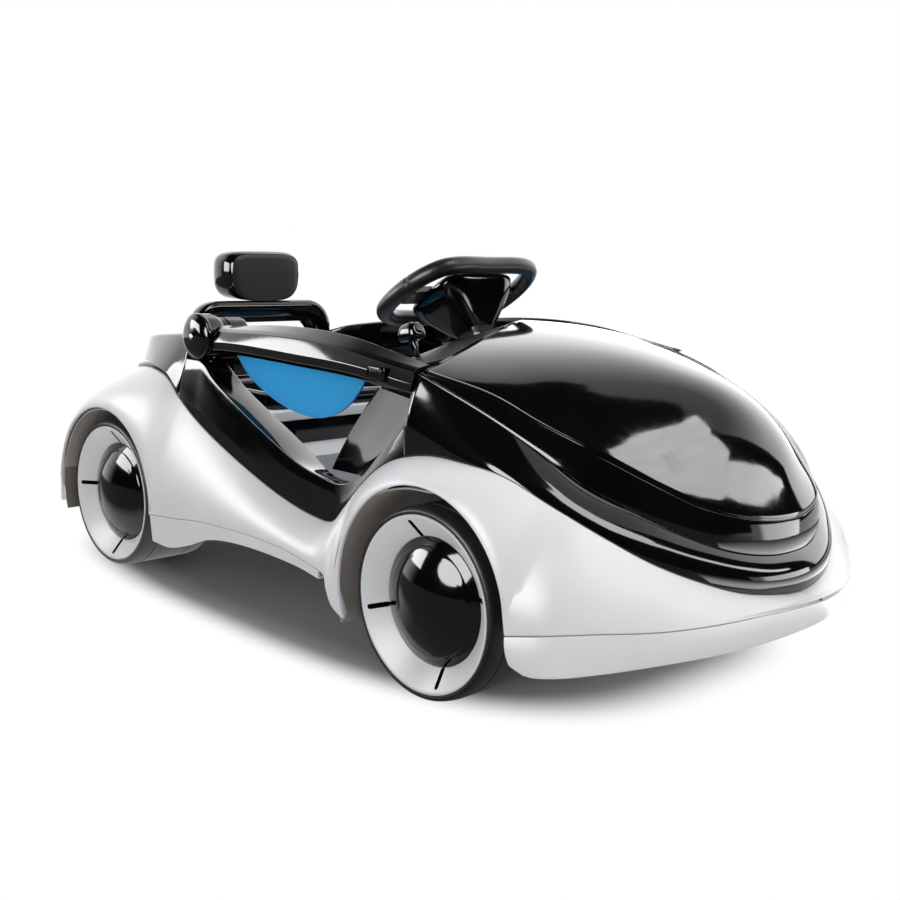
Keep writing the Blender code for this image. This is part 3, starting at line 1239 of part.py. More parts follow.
def dash_controls(panel):
    """Direction knob on the right and power rocker on the left, each in its own opening."""
    seat, tilt = dash_top(-KNOB_Y, 0.76)
    frame = Matrix.Translation(seat) @ Matrix.Rotation(tilt, 4, "Y")
    opening = box("knob_opening", (-0.0130, -0.0048, -0.012), (0.0130, 0.0048, 0.012), BLACK, shown=False)
    opening.matrix_world = frame
    cut(panel, opening)
    pivot = frame @ Vector((0.0, 0.0, -0.012))
    knob = cylinder("direction_knob", pivot - Vector((0, 0.0045, 0)), pivot + Vector((0, 0.0045, 0)), 0.005,
                    SATIN_BLACK, steps=12)
    stem = box("knob_stem", (-0.0035, -0.0045, 0.0), (0.0035, 0.0045, 0.026), SATIN_BLACK, shown=False)
    stem.matrix_world = frame @ Matrix.Translation((0, 0, 0.001))
    join(knob, stem)
    head = box("knob_head", (-0.016, -0.013, 0.0), (0.016, 0.013, 0.022), SATIN_BLACK, bevel=0.006, shown=False)
    head.matrix_world = frame @ Matrix.Translation((0, 0, 0.022))
    join(knob, head)
    seat, tilt = dash_top(KNOB_Y, 0.55)
    frame = Matrix.Translation(seat) @ Matrix.Rotation(tilt, 4, "Y")
    opening = box("rocker_opening", (-0.0135, -0.0083, -0.012), (0.0135, 0.0083, 0.012), BLACK, shown=False)
    opening.matrix_world = frame
    cut(panel, opening)
    rocker = box("power_switch", (-0.0125, -0.0080, -0.004), (0.0125, 0.0080, 0.004), SATIN_BLACK)
    rocker.matrix_world = frame @ Matrix.Translation((0, 0, 0.0005))
    round_edges(rocker, 0.0012)


def column_hole(panel):
    top, down, _ = column_frame()
    cut(panel, cylinder("column_hole", top + down * 0.060, top + down * 0.150, COLUMN_RADIUS + 0.0008, STEEL,
                        steps=14, shown=False))


def wheels():
    rear_x = FRONT_AXLE_X - WHEELBASE
    for end, x, slot in (("front", FRONT_AXLE_X, -74.0), ("rear", rear_x, -90.0)):
        for side in (-1, 1):
            centre = (x, TYRE_RADIUS)
            tyre(side_name(end + "_tyre", side), centre, side)
            dish = wheel_dish(side_name(end + "_wheel", side), centre, side)
            dish_slots(dish, centre, side, slot)
            hub_dome(side_name(end + "_hub_dome", side), centre, side)


def arch_liners():
    for side in (-1, 1):
        arch_liner("front_arch_liner", FRONT_ARCH, 0.141, 0.1245, SPINE_HALF_WIDTH + 0.0055,
                   [206 - 15.2 * k for k in range(15)], side)
        arch_liner("rear_arch_liner", REAR_ARCH, 0.1262, 0.1262, TUB_HALF_WIDTH + SEAT_GAP,
                   [200 - 14.7 * k for k in range(15)], side)


def build():
    tub()
    for side in (-1, 1):
        side_shell(side)
        side_skirt(side)
        door_frame(side)
        pillar_trim(side)
        gearbox(side)
        knuckle(side)
        sound_button(side)
        door_bar(side)
        door_window(side)
        hinge_housing(side)
        latch_slider(side)
    front_bumper()
    hood()
    front_shoulder()
    rear_deck()
    panel = dash_panel()
    column_hole(panel)
    dash_controls(panel)
    wheels()
    arch_liners()
    rear_axle()
    front_axle_beam()
    tie_rod()
    steering_column()
    steering_rim()
    steering_hub()
    seat_parts()
    battery_and_control()
    accelerator_pedal()
    for obj in (*CAR.objects, *CUTTERS.objects):
        obj.location.x += CENTRE_SHIFT


build()
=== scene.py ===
import math

import bmesh
import bpy
import numpy
from mathutils import Matrix, Vector


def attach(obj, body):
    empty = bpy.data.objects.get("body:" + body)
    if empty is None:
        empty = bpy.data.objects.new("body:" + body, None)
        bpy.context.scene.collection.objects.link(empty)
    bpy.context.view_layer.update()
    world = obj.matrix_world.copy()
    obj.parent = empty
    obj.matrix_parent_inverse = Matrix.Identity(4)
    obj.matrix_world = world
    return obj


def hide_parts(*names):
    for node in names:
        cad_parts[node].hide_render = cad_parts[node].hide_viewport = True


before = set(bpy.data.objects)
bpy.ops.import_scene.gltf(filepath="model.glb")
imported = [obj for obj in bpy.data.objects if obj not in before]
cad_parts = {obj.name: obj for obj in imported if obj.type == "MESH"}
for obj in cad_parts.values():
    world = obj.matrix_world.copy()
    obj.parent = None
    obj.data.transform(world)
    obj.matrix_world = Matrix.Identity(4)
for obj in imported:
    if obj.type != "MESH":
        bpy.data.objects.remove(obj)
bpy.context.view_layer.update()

# ---- Camera ----
# The photograph is taken from the front right at the height of a child's chest, slightly
# tilted, with a 47 mm lens on a 36 mm frame.
CAMERA_PLACE = (1.158, -1.155, 0.510)
CAMERA_ROUND = math.radians(44.96)
CAMERA_DOWN = math.radians(10.43)
CAMERA_TILT = math.radians(2.27)
back = Vector((math.sin(CAMERA_ROUND) * math.cos(CAMERA_DOWN),
               -math.cos(CAMERA_ROUND) * math.cos(CAMERA_DOWN), math.sin(CAMERA_DOWN)))
level = Vector((0, 0, 1)).cross(back).normalized()
upright = back.cross(level)
across = level * math.cos(CAMERA_TILT) + upright * math.sin(CAMERA_TILT)
upward = upright * math.cos(CAMERA_TILT) - level * math.sin(CAMERA_TILT)
lens = bpy.data.cameras.new("studio_camera")
lens.lens = 47.1
lens.sensor_width = 36.0
camera = bpy.data.objects.new("studio_camera", lens)
camera.matrix_world = Matrix.Translation(CAMERA_PLACE) @ Matrix((across, upward, back)).transposed().to_4x4()
bpy.context.scene.collection.objects.link(camera)
bpy.context.scene.camera = camera
bpy.context.scene.view_settings.view_transform = "Standard"


# ---- Floor and room ----
# A wide sheet of white studio paper. To the eye it is pure white in the open, and near the car the shadow is
# painted: a darker grey paper with a weak glow that grows outwards. Bounce light comes from the plain diffuse paper.
def tinted(code):
    """An sRGB hex value as the linear colour that a shader takes."""
    parts = [int(code[i:i + 2], 16) / 255 for i in (0, 2, 4)]
    return (*(p / 12.92 if p <= 0.04045 else ((p + 0.055) / 1.055) ** 2.4 for p in parts), 1.0)


def add(tree, kind, links=None, **settings):
    """Adds a shader node with its settings, and sets or links its sockets."""
    made = tree.nodes.new("ShaderNode" + kind)
    for name, value in settings.items():
        setattr(made, name, value)
    for socket, value in (links or {}).items():
        if isinstance(value, bpy.types.NodeSocket):
            tree.links.new(value, made.inputs[socket])
        else:
            made.inputs[socket].default_value = value
    return made


def blank(name):
    """A material with an empty tree and its output."""
    finish = bpy.data.materials.new(name)
    finish.use_nodes = True
    finish.node_tree.nodes.clear()
    return finish, finish.node_tree, add(finish.node_tree, "OutputMaterial")


studio_paper, tree, output = blank("white_studio_paper")
place = add(tree, "TexCoord").outputs["Object"]
fibre = add(tree, "TexNoise", {"Vector": place, "Scale": 400.0, "Detail": 3.0})
relief = add(tree, "Bump", {"Height": fibre.outputs["Fac"], "Strength": 0.05, "Distance": 0.0002})
paper = add(tree, "BsdfDiffuse", {"Color": tinted("E6E6E6"), "Normal": relief.outputs["Normal"]})
# How far out a point of the floor lies: 1 is on a rounded outline close to the car's own, where the painted shadow
# fades out
PAINTED_SHADOW_MIDDLE = (-0.10, 0.0, 0.0)
PAINTED_SHADOW_REACH = (0.56, 0.335, 1.0)
out = add(tree, "VectorMath", {0: place, 1: PAINTED_SHADOW_MIDDLE}, operation="SUBTRACT")
out = add(tree, "VectorMath", {0: out.outputs[0], 1: PAINTED_SHADOW_REACH}, operation="DIVIDE")
out = add(tree, "VectorMath", {0: out.outputs[0]}, operation="ABSOLUTE")
square = add(tree, "VectorMath", {0: out.outputs[0], 1: out.outputs[0]}, operation="MULTIPLY")
cubed = add(tree, "VectorMath", {0: out.outputs[0], 1: square.outputs[0]}, operation="DOT_PRODUCT")
away = add(tree, "Math", {0: cubed.outputs["Value"], 1: 0.3333}, operation="POWER").outputs[0]
# Painted shadow: darker grey paper with a weak glow near the middle, open white glow further out
lifted = add(tree, "MapRange", {"Value": away, "From Min": 0.75, "From Max": 1.0, "To Min": 0.0, "To Max": 0.12})
painted_shadow_glow = add(tree, "Emission", {"Color": tinted("FFFFFF"), "Strength": lifted.outputs["Result"]})
painted_shadow_paper = add(tree, "BsdfDiffuse", {"Color": tinted("A6A6A6"), "Normal": relief.outputs["Normal"]})
near = add(tree, "AddShader", {0: painted_shadow_paper.outputs[0], 1: painted_shadow_glow.outputs[0]})
open_white = add(tree, "Emission", {"Color": tinted("FFFFFF"), "Strength": 1.0})
painted_shadow_fade = add(tree, "MapRange", {"Value": away, "From Min": 0.86, "From Max": 1.05}, interpolation_type="SMOOTHSTEP")
floor_with_painted_shadow = add(tree, "MixShader", {0: painted_shadow_fade.outputs["Result"], 1: near.outputs[0], 2: open_white.outputs[0]})
path = add(tree, "LightPath")
seen = add(tree, "Math", {0: path.outputs["Is Camera Ray"], 1: path.outputs["Is Transmission Ray"]},
           operation="MAXIMUM")
mixed = add(tree, "MixShader", {0: seen.outputs[0], 1: paper.outputs[0], 2: floor_with_painted_shadow.outputs[0]})
# In mirrors the sheet shows a painted reflection, a glow set by place: dark on the camera side, and white beyond the
# car and beside its tail
parts = add(tree, "SeparateXYZ", {0: place})
beyond = add(tree, "MapRange", {"Value": parts.outputs["Y"], "From Min": -0.3, "From Max": 1.0, "To Min": 0.18})
behind = add(tree, "MapRange", {"Value": parts.outputs["X"], "From Min": 0.20, "From Max": -0.10})
beside = add(tree, "MapRange", {"Value": parts.outputs["Y"], "From Min": -0.50, "From Max": -0.38})
corner = add(tree, "Math", {0: behind.outputs["Result"], 1: beside.outputs["Result"]}, operation="MULTIPLY")
# Strength of the painted reflection glow, set by place on the floor
bright = add(tree, "Math", {0: beyond.outputs["Result"], 1: corner.outputs[0]}, operation="MAXIMUM")
painted_reflection_glow = add(tree, "Emission", {"Color": tinted("FFFFFF"), "Strength": bright.outputs[0]})
mixed = add(tree, "MixShader", {0: path.outputs["Is Glossy Ray"], 1: mixed.outputs[0], 2: painted_reflection_glow.outputs[0]})
tree.links.new(mixed.outputs[0], output.inputs["Surface"])

FLOOR_REACH = 14.0
FLOOR_TILES = 7
tile = FLOOR_REACH / FLOOR_TILES
bm = bmesh.new()
for x in range(-FLOOR_TILES, FLOOR_TILES):
    for y in range(-FLOOR_TILES, FLOOR_TILES):
        bm.faces.new([bm.verts.new(((x + u) * tile, (y + v) * tile, 0.0))
                      for u, v in ((0, 0), (1, 0), (1, 1), (0, 1))])
bmesh.ops.remove_doubles(bm, verts=bm.verts, dist=0.0001)
mesh = bpy.data.meshes.new("studio_floor")
bm.to_mesh(mesh)
bm.free()
mesh.materials.append(studio_paper)
floor = bpy.data.objects.new("studio_floor", mesh)
bpy.context.scene.collection.objects.link(floor)

# The room is white to the eye and in mirrors, and lights matt surfaces softly
world = bpy.data.worlds.new("studio_room")
world.use_nodes = True
tree = world.node_tree
tree.nodes.clear()
path = add(tree, "LightPath")
seen = add(tree, "Math", {0: path.outputs["Is Camera Ray"], 1: path.outputs["Is Glossy Ray"]},
           operation="MAXIMUM")
seen = add(tree, "Math", {0: seen.outputs[0], 1: path.outputs["Is Transmission Ray"]}, operation="MAXIMUM")
room = add(tree, "Background", {"Color": tinted("FFFFFF"), "Strength": 0.40})
white = add(tree, "Background", {"Color": tinted("FFFFFF"), "Strength": 1.0})
mixed = add(tree, "MixShader", {0: seen.outputs[0], 1: room.outputs[0], 2: white.outputs[0]})
tree.links.new(mixed.outputs[0], add(tree, "OutputWorld").inputs["Surface"])
bpy.context.scene.world = world

# ---- Lights ----
# A large softbox hangs over the car, and a fill stands to its right and one in front. Only matt
# surfaces take their light: mirrors see glowing cards and panels, with black felt between them.
def softbox(name, place, aim, size, radiance):
    lamp = bpy.data.lights.new(name, "AREA")
    lamp.shape = "RECTANGLE"
    lamp.size, lamp.size_y = size
    lamp.energy = radiance * math.pi * (size[0] * size[1])
    holder = bpy.data.objects.new(name, lamp)
    holder.location = place
    holder.rotation_euler = (Vector(place) - Vector(aim)).to_track_quat("Z", "Y").to_euler()
    holder.visible_glossy = False
    bpy.context.scene.collection.objects.link(holder)


softbox("ceiling_softbox", (0.1, 0.25, 2.3), (0.0, 0.0, 0.0), (2.4, 2.0), 2.0)
softbox("right_fill", (0.6, -2.4, 1.0), (0.0, 0.0, 0.25), (2.0, 1.2), 1.05)
softbox("front_fill", (2.4, 0.2, 1.0), (0.0, 0.0, 0.25), (1.6, 1.2), 1.6)


def heading(turn, rise):
    """The direction at an angle round the car, 0 being ahead, and an angle above the floor, in degrees."""
    a, e = math.radians(turn), math.radians(rise)
    return Vector((math.cos(a) * math.cos(e), math.sin(a) * math.cos(e), math.sin(e)))


def hung(name, mesh, finish):
    """Hangs a mesh in the studio where only mirrors see it."""
    mesh.materials.append(finish)
    holder = bpy.data.objects.new(name, mesh)
    holder.visible_camera = holder.visible_diffuse = holder.visible_transmission = holder.visible_shadow = False
    bpy.context.scene.collection.objects.link(holder)
    return holder


def card(name, turn, rise, distance, half_width, half_height, radiance, soft, middle, round_card=False):
    """A glowing card with soft edges, square to the line from the middle that it shines on."""
    finish, tree, output = blank(name)
    place = add(tree, "TexCoord").outputs["Object"]
    share = add(tree, "VectorMath", {0: place}, operation="ABSOLUTE")
    share = add(tree, "VectorMath", {0: share.outputs[0], 1: (half_width, half_height, 1.0)}, operation="DIVIDE")
    if round_card:
        reach = add(tree, "VectorMath", {0: share.outputs[0]}, operation="LENGTH").outputs["Value"]
    else:
        parts = add(tree, "SeparateXYZ", {0: share.outputs[0]})
        reach = add(tree, "Math", {0: parts.outputs["X"], 1: parts.outputs["Y"]}, operation="MAXIMUM").outputs[0]
    glow = add(tree, "MapRange", {"Value": reach, "From Min": 1.0 - soft, "From Max": 1.0, "To Min": radiance,
                                  "To Max": 0.0}, interpolation_type="SMOOTHSTEP")
    shown = add(tree, "Emission", {"Color": tinted("FFFFFF"), "Strength": glow.outputs["Result"]})
    # Beyond its rim the card lets the room through
    clear = add(tree, "BsdfTransparent")
    open_part = add(tree, "Math", {0: glow.outputs["Result"], 1: 0.001}, operation="LESS_THAN")
    both = add(tree, "MixShader", {0: open_part.outputs[0], 1: shown.outputs[0], 2: clear.outputs[0]})
    tree.links.new(both.outputs[0], output.inputs["Surface"])
    mesh = bpy.data.meshes.new(name)
    mesh.from_pydata([(-half_width, -half_height, 0), (half_width, -half_height, 0), (half_width, half_height, 0),
                      (-half_width, half_height, 0)], [], [(0, 1, 2, 3)])
    holder = hung(name, mesh, finish)
    way = heading(turn, rise)
    holder.location = Vector(middle) + way * distance
    holder.rotation_euler = way.to_track_quat("Z", "Y").to_euler()


# These draw the domes' highlights: a round softbox is square to the front dome, and a smaller box and
# the dim end of the room are square to the rear one
FRONT_DOME = (0.267, -0.290, 0.109)
REAR_DOME = (-0.409, -0.290, 0.109)
card("round_softbox", -90.0, 31.0, 1.0, 0.40, 0.33, 14.0, 0.06, FRONT_DOME, round_card=True)
card("rear_softbox", -122.0, 33.0, 0.75, 0.27, 0.15, 13.0, 0.08, REAR_DOME)
card("rear_backdrop", 176.0, 17.0, 2.6, 3.1, 2.4, 2.2, 0.75, REAR_DOME)


def panel(name, finish, columns, distance, middle):
    """A panel that bends round a middle: columns of (turn, lowest rise, highest rise) in degrees."""
    steps = 8
    bm = bmesh.new()
    grid = [[bm.verts.new(Vector(middle) + heading(turn, low + (high - low) * k / steps) * distance)
             for k in range(steps + 1)] for turn, low, high in columns]
    for row, following in zip(grid, grid[1:]):
        for k in range(steps):
            bm.faces.new((row[k], row[k + 1], following[k + 1], following[k]))
    mesh = bpy.data.meshes.new(name)
    bm.to_mesh(mesh)
    bm.free()
    hung(name, mesh, finish)


# A tall softbox in front of the car: the bonnet mirrors it as a bright patch with clear edges
silk, tree, output = blank("lit_softbox_silk")
place = add(tree, "TexCoord").outputs["Object"]
weave = add(tree, "TexNoise", {"Vector": place, "Scale": 2.0, "Detail": 1.0})
glow = add(tree, "MapRange", {"Value": weave.outputs["Fac"], "From Min": 0.3, "From Max": 0.7, "To Min": 8.2,
                              "To Max": 9.4})
shown = add(tree, "Emission", {"Color": tinted("FFFFFF"), "Strength": glow.outputs["Result"]})
tree.links.new(shown.outputs[0], output.inputs["Surface"])
BONNET_MIDDLE = (0.42, -0.05, 0.32)
panel("tall_softbox", silk, [
    (-9, 47, 66), (0, 43, 72), (5, 40, 73), (11, 40, 73), (15, 45, 73), (19, 48, 73), (24, 62, 73),
    (30, 64, 72.5), (40, 68.5, 72.5), (53, 71, 72)], 3.8, BONNET_MIDDLE)
panel("tall_softbox_foot", silk, [
    (11, 40, 47.5), (21, 33, 41), (31, 26, 32.5), (38, 20, 28), (46, 15, 20), (52, 13.5, 16)], 3.8, BONNET_MIDDLE)


def lit_sheet(name, axis, start, end, start_glow, end_glow):
    """Paper lit from one side: its glow changes evenly along an axis, from start to end in metres."""
    finish, tree, output = blank(name)
    place = add(tree, "TexCoord").outputs["Object"]
    parts = add(tree, "SeparateXYZ", {0: place})
    glow = add(tree, "MapRange", {"Value": parts.outputs[axis], "From Min": start, "From Max": end,
                                  "To Min": start_glow, "To Max": end_glow})
    shown = add(tree, "Emission", {"Color": tinted("FFFFFF"), "Strength": glow.outputs["Result"]})
    tree.links.new(shown.outputs[0], output.inputs["Surface"])
    return finish


# A low sheet stands before the nose and is brightest at the floor. One at the nose's height lights the
# end of the rim band, and the backdrop beyond the car grows darker towards its top edge.
panel("low_sheet", lit_sheet("lit_low_sheet", "Z", 0.06, 0.15, 5.0, 0.0),
      [(turn, -35, -8.5) for turn in range(-30, 101, 10)], 0.34, (0.50, 0.0, 0.20))
panel("nose_sheet", lit_sheet("lit_nose_sheet", "Y", 0.38, 0.44, 1.2, 6.0),
      [(18, -10, 8), (28, -10, 8), (40, -10, 8), (50, -10, 7), (64, -10, 3)], 0.9, (0.53, 0.0, 0.205))
panel("far_backdrop", lit_sheet("lit_backdrop_paper", "Z", 2.3, 3.75, 3.0, 0.75), [
    (30, 57, 61), (36, 52, 67), (44, 43, 72), (50, 35, 73), (60, 22, 73), (66, 15, 73), (70, 0, 73), (80, 0, 72),
    (98, 0, 70), (109, 0, 68), (121, 0, 65), (124, 0, 61), (132, 0, 58.5), (150, 0, 58), (170, 0, 56)],
    4.0, BONNET_MIDDLE)


def toned(tree, value, low, high, start=0.0, end=1.0):
    """A colour that goes from low to high while a value goes from start to end."""
    tone = add(tree, "ValToRGB", {"Fac": value})
    for stop, place, code in zip(tone.color_ramp.elements, (start, end), (low, high)):
        stop.position = place
        stop.color = tinted(code)
    return tone.outputs["Color"]


# Black felt closes the rest of the room
studio_felt, tree, output = blank("black_studio_felt")
place = add(tree, "TexCoord").outputs["Object"]
nap = add(tree, "TexNoise", {"Vector": place, "Scale": 60.0})
felt = add(tree, "BsdfDiffuse", {"Color": toned(tree, nap.outputs["Fac"], "0A0A0A", "161616")})
tree.links.new(felt.outputs[0], output.inputs["Surface"])
panel("dark_flags", studio_felt, [(turn, 1, 89.5) for turn in range(-188, 173, 10)], 4.6, (0.0, 0.0, 0.0))

# ---- White flanks ----
# Each side of the body is one injection-moulded polypropylene panel, 2.5 mm thick, from the middle
# of the tail over both wheel arches to the middle of the nose. Screws from inside hold it to the tub.
SHIFT = 0.012
SEAM_GAP = 0.0006
NOSE_GAP = 0.0010
SHELL_WALL = 0.0025
FLANGE = 0.008
LIP_FLANGE = 0.011
ARCH_FLANGE = 0.0035
ARCH_RADIUS = 0.130
ARCH_HALF_WIDTH = 0.315
REAR_ARCH = (-0.415, 0.109)
FRONT_ARCH = (0.262, 0.114)
SIDES = ((-1, "right"), (1, "left"))


def catmull(a, b, c, d, t):
    """Point at t between b and c on a chord-length Catmull-Rom curve."""
    ab = max((b - a).length, 1e-9) ** 0.5
    bc = max((c - b).length, 1e-9) ** 0.5
    cd = max((d - c).length, 1e-9) ** 0.5
    m1 = (c - b) + bc * ((b - a) / ab - (c - a) / (ab + bc))
    m2 = (c - b) + bc * ((d - c) / cd - (d - b) / (bc + cd))
    t2, t3 = t * t, t * t * t
    return b * (2 * t3 - 3 * t2 + 1) + m1 * (t3 - 2 * t2 + t) + c * (3 * t2 - 2 * t3) + m2 * (t3 - t2)


def between(rows, steps):
    """The rows with smooth rows added between them."""
    rows = [Vector(row) for row in rows]
    rows = [rows[0] * 2 - rows[1], *rows, rows[-1] * 2 - rows[-2]]
    found = []
    for a, b, c, d in zip(rows, rows[1:], rows[2:], rows[3:]):
        found += [catmull(a, b, c, d, k / steps) for k in range(steps)]
    return found + [rows[-2]]


def shares(start, end, count):
    """Even steps from start to end, with both of them."""
    return [start + (end - start) * i / count for i in range(count + 1)]


class Rail:
    """A smooth line through points of (x, half width, z), read by its share of length."""

    def __init__(self, points, mirrored_start=False, mirrored_end=False):
        knots = [Vector(point) for point in points]
        before = knots[0] * 2 - knots[1]
        after = knots[-1] * 2 - knots[-2]
        if mirrored_start:
            before = Vector((knots[1].x, -knots[1].y, knots[1].z))
        if mirrored_end:
            after = Vector((knots[-2].x, -knots[-2].y, knots[-2].z))
        knots = [before, *knots, after]
        self.points = []
        for a, b, c, d in zip(knots, knots[1:], knots[2:], knots[3:]):
            self.points += [catmull(a, b, c, d, step / 24) for step in range(24)]
        self.points.append(knots[-2])
        self.lengths = [0.0]
        for a, b in zip(self.points, self.points[1:]):
            self.lengths.append(self.lengths[-1] + (b - a).length)

    def at(self, share):
        """The point at a share of the line's length."""
        wanted = min(max(share, 0.0), 1.0) * self.lengths[-1]
        for i in range(1, len(self.points)):
            if self.lengths[i] >= wanted:
                span = self.lengths[i] - self.lengths[i - 1]
                part = (wanted - self.lengths[i - 1]) / span if span else 0.0
                return self.points[i - 1].lerp(self.points[i], part)
        return self.points[-1].copy()

    def share_at_x(self, x):
        """The share of length at which a line that runs forwards passes x."""
        for i, (a, b) in enumerate(zip(self.points, self.points[1:])):
            if a.x <= x < b.x:
                part = (x - a.x) / (b.x - a.x)
                return (self.lengths[i] + part * (self.lengths[i + 1] - self.lengths[i])) / self.lengths[-1]
        return 0.0 if x < self.points[0].x else 1.0

    def along(self, share):
        """The line's direction at a share of its length."""
        return (self.at(share + 0.004) - self.at(share - 0.004)).normalized()

    def inward(self, share):
        """The level direction towards the middle of the car, square to the line."""
        along = self.along(share)
        return Vector((along.y, -along.x, 0.0)).normalized()

    def lifted(self, share, amount):
        """A point of the line moved square to it, upwards."""
        along = self.along(share)
        up = Vector((0.0, 0.0, 1.0))
        up = (up - along * up.dot(along)).normalized()
        return self.at(share) + up * amount


def eased(rib, corners, steps=3):
    """The rib with the corners at these places rounded: {place: reach of the rounding}."""
    found = []
    for i, point in enumerate(rib):
        if i not in corners:
            found.append(point)
            continue
        before, after = rib[i - 1] - point, rib[i + 1] - point
        start = point + before.normalized() * min(corners[i], before.length * 0.48)
        end = point + after.normalized() * min(corners[i], after.length * 0.48)
        for k in range(steps + 1):
            t = k / steps
            found.append(start * (1 - t) ** 2 + point * (2 * t * (1 - t)) + end * t ** 2)
    return found


def to_middle(rib):
    """Puts an end rib of a panel on the car's middle plane, where its two halves meet."""
    for point in rib:
        point.y = 0.0


def skin(ribs, sides, cuts=()):
    """A surface over ribs that run from tail to nose, each from its outer foot upwards and inwards."""
    bm = bmesh.new()
    for side in sides:
        grid = [[bm.verts.new((p.x, side * p.y, p.z)) for p in rib] for rib in ribs]
        for rib, following in zip(grid, grid[1:]):
            for i in range(len(rib) - 1):
                corners = (rib[i], following[i], following[i + 1], rib[i + 1])
                bm.faces.new(corners if side < 0 else corners[::-1])
    bmesh.ops.remove_doubles(bm, verts=bm.verts, dist=0.00002)
    for place, facing in cuts:
        bmesh.ops.bisect_plane(bm, geom=bm.verts[:] + bm.edges[:] + bm.faces[:], dist=0.000001,
                               plane_co=place, plane_no=facing, clear_outer=True)
    return bm


def shape_object(name, bm, finishes, sharp=38):
    """Makes an object of a mesh, moved from the drawing's frame to the car's, smooth but for sharp edges."""
    bmesh.ops.translate(bm, vec=(SHIFT, 0.0, 0.0), verts=bm.verts)
    mesh = bpy.data.meshes.new(name)
    bm.to_mesh(mesh)
    bm.free()
    mesh.shade_smooth()
    mesh.set_sharp_from_angle(angle=math.radians(sharp))
    for finish in finishes:
        mesh.materials.append(finish)
    made = bpy.data.objects.new(name, mesh)
    bpy.context.scene.collection.objects.link(made)
    return made


def round_edges(made, width, degrees):
    """Rounds the edges that are sharper than an angle when the object is shown."""
    rounding = made.modifiers.new("rounded_edges", "BEVEL")
    rounding.width = width
    rounding.segments = 2
    rounding.limit_method = "ANGLE"
    rounding.angle_limit = math.radians(degrees)


def piece(name, bm, finishes, body, nodes=(), wall=0.0, edge=0.0005, cutters=(), sharp=38):
    """Makes a mesh into a piece of the car: its wall, cuts and edge rounding, and the body it rides on."""
    finishes = finishes if isinstance(finishes, (list, tuple)) else (finishes,)
    made = shape_object(name, bm, finishes, sharp)
    if wall:
        solid = made.modifiers.new("wall", "SOLIDIFY")
        solid.thickness = wall
        solid.offset = -1.0
        solid.use_even_offset = True
    if cutters:
        tools = [shape_object(name + "_tool_" + str(k), cutter, finishes) for k, cutter in enumerate(cutters)]
        for tool in tools:
            cut = made.modifiers.new(tool.name, "BOOLEAN")
            cut.object = tool
            cut.solver = "EXACT"
        bpy.context.view_layer.update()
        shaped = bpy.data.meshes.new_from_object(made.evaluated_get(bpy.context.evaluated_depsgraph_get()))
        made.modifiers.clear()
        made.data = shaped
        shaped.name = name
        shaped.shade_smooth()
        shaped.set_sharp_from_angle(angle=math.radians(sharp))
        for tool in tools:
            bpy.data.objects.remove(tool, do_unlink=True)
    if edge:
        round_edges(made, edge, 45)
        made.modifiers.new("even_shading", "WEIGHTED_NORMAL").keep_sharp = True
    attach(made, body)
    if nodes:
        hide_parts(*nodes)
    return made


def moulded_plastic(name, colour, shade, roughness, spread, peel_mm, peel_height_mm, sheen_mm=70.0, ior=1.50):
    """A moulded plastic: a colour that drifts over sheen_mm, and waves or grain peel_mm wide and peel_height_mm
    high, as the tool leaves them, that make its gloss uneven by spread."""
    finish, tree, output = blank(name)
    place = add(tree, "TexCoord").outputs["Object"]
    drift = add(tree, "TexNoise", {"Vector": place, "Scale": 1000.0 / sheen_mm, "Detail": 2.0})
    tone = toned(tree, drift.outputs["Fac"], shade, colour, 0.3, 0.7)
    peel = add(tree, "TexNoise", {"Vector": place, "Scale": 1000.0 / peel_mm, "Detail": 3.0, "Roughness": 0.55})
    gloss = add(tree, "MapRange", {"Value": peel.outputs["Fac"], "From Min": 0.3, "From Max": 0.7,
                                   "To Min": roughness - spread, "To Max": roughness + spread})
    relief = add(tree, "Bump", {"Height": peel.outputs["Fac"], "Strength": 1.0, "Distance": peel_height_mm / 1000.0})
    shader = add(tree, "BsdfPrincipled", {"Base Color": tone, "Roughness": gloss.outputs["Result"],
                                          "Normal": relief.outputs["Normal"], "IOR": ior})
    tree.links.new(shader.outputs[0], output.inputs["Surface"])
    return finish


# A hard clean white: soft broad shine, hardly any drift of colour, waves a few millimetres apart
WHITE = moulded_plastic("white_moulded_polypropylene", "EBECEE", "E8E9EB", 0.38, 0.010, 9.0, 0.0006, ior=1.46)

WAIST = Rail([
    (-0.574, 0.000, 0.266), (-0.570, 0.070, 0.267), (-0.556, 0.130, 0.271), (-0.524, 0.181, 0.278),
    (-0.476, 0.219, 0.287), (-0.420, 0.244, 0.297), (-0.366, 0.260, 0.301), (-0.314, 0.269, 0.294),
    (-0.275, 0.272, 0.269), (-0.225, 0.272, 0.240), (-0.129, 0.272, 0.201), (-0.030, 0.271, 0.170),
    (0.030, 0.270, 0.159), (0.064, 0.270, 0.160), (0.088, 0.270, 0.184), (0.115, 0.270, 0.214),
    (0.149, 0.270, 0.242), (0.183, 0.270, 0.258), (0.232, 0.270, 0.268), (0.278, 0.270, 0.2685),
    (0.337, 0.266, 0.2631), (0.390, 0.248, 0.2389), (0.437, 0.218, 0.2109), (0.474, 0.181, 0.1849),
    (0.503, 0.139, 0.1656), (0.524, 0.097, 0.1515), (0.537, 0.055, 0.1444), (0.543, 0.000, 0.1396),
], mirrored_start=True, mirrored_end=True)
TAIL_FOOT = Rail([
    (-0.594, 0.000, 0.080), (-0.593, 0.100, 0.080), (-0.588, 0.190, 0.080), (-0.577, 0.262, 0.079),
    (-0.562, 0.300, 0.078), (-0.545, 0.315, 0.0775),
], mirrored_start=True)
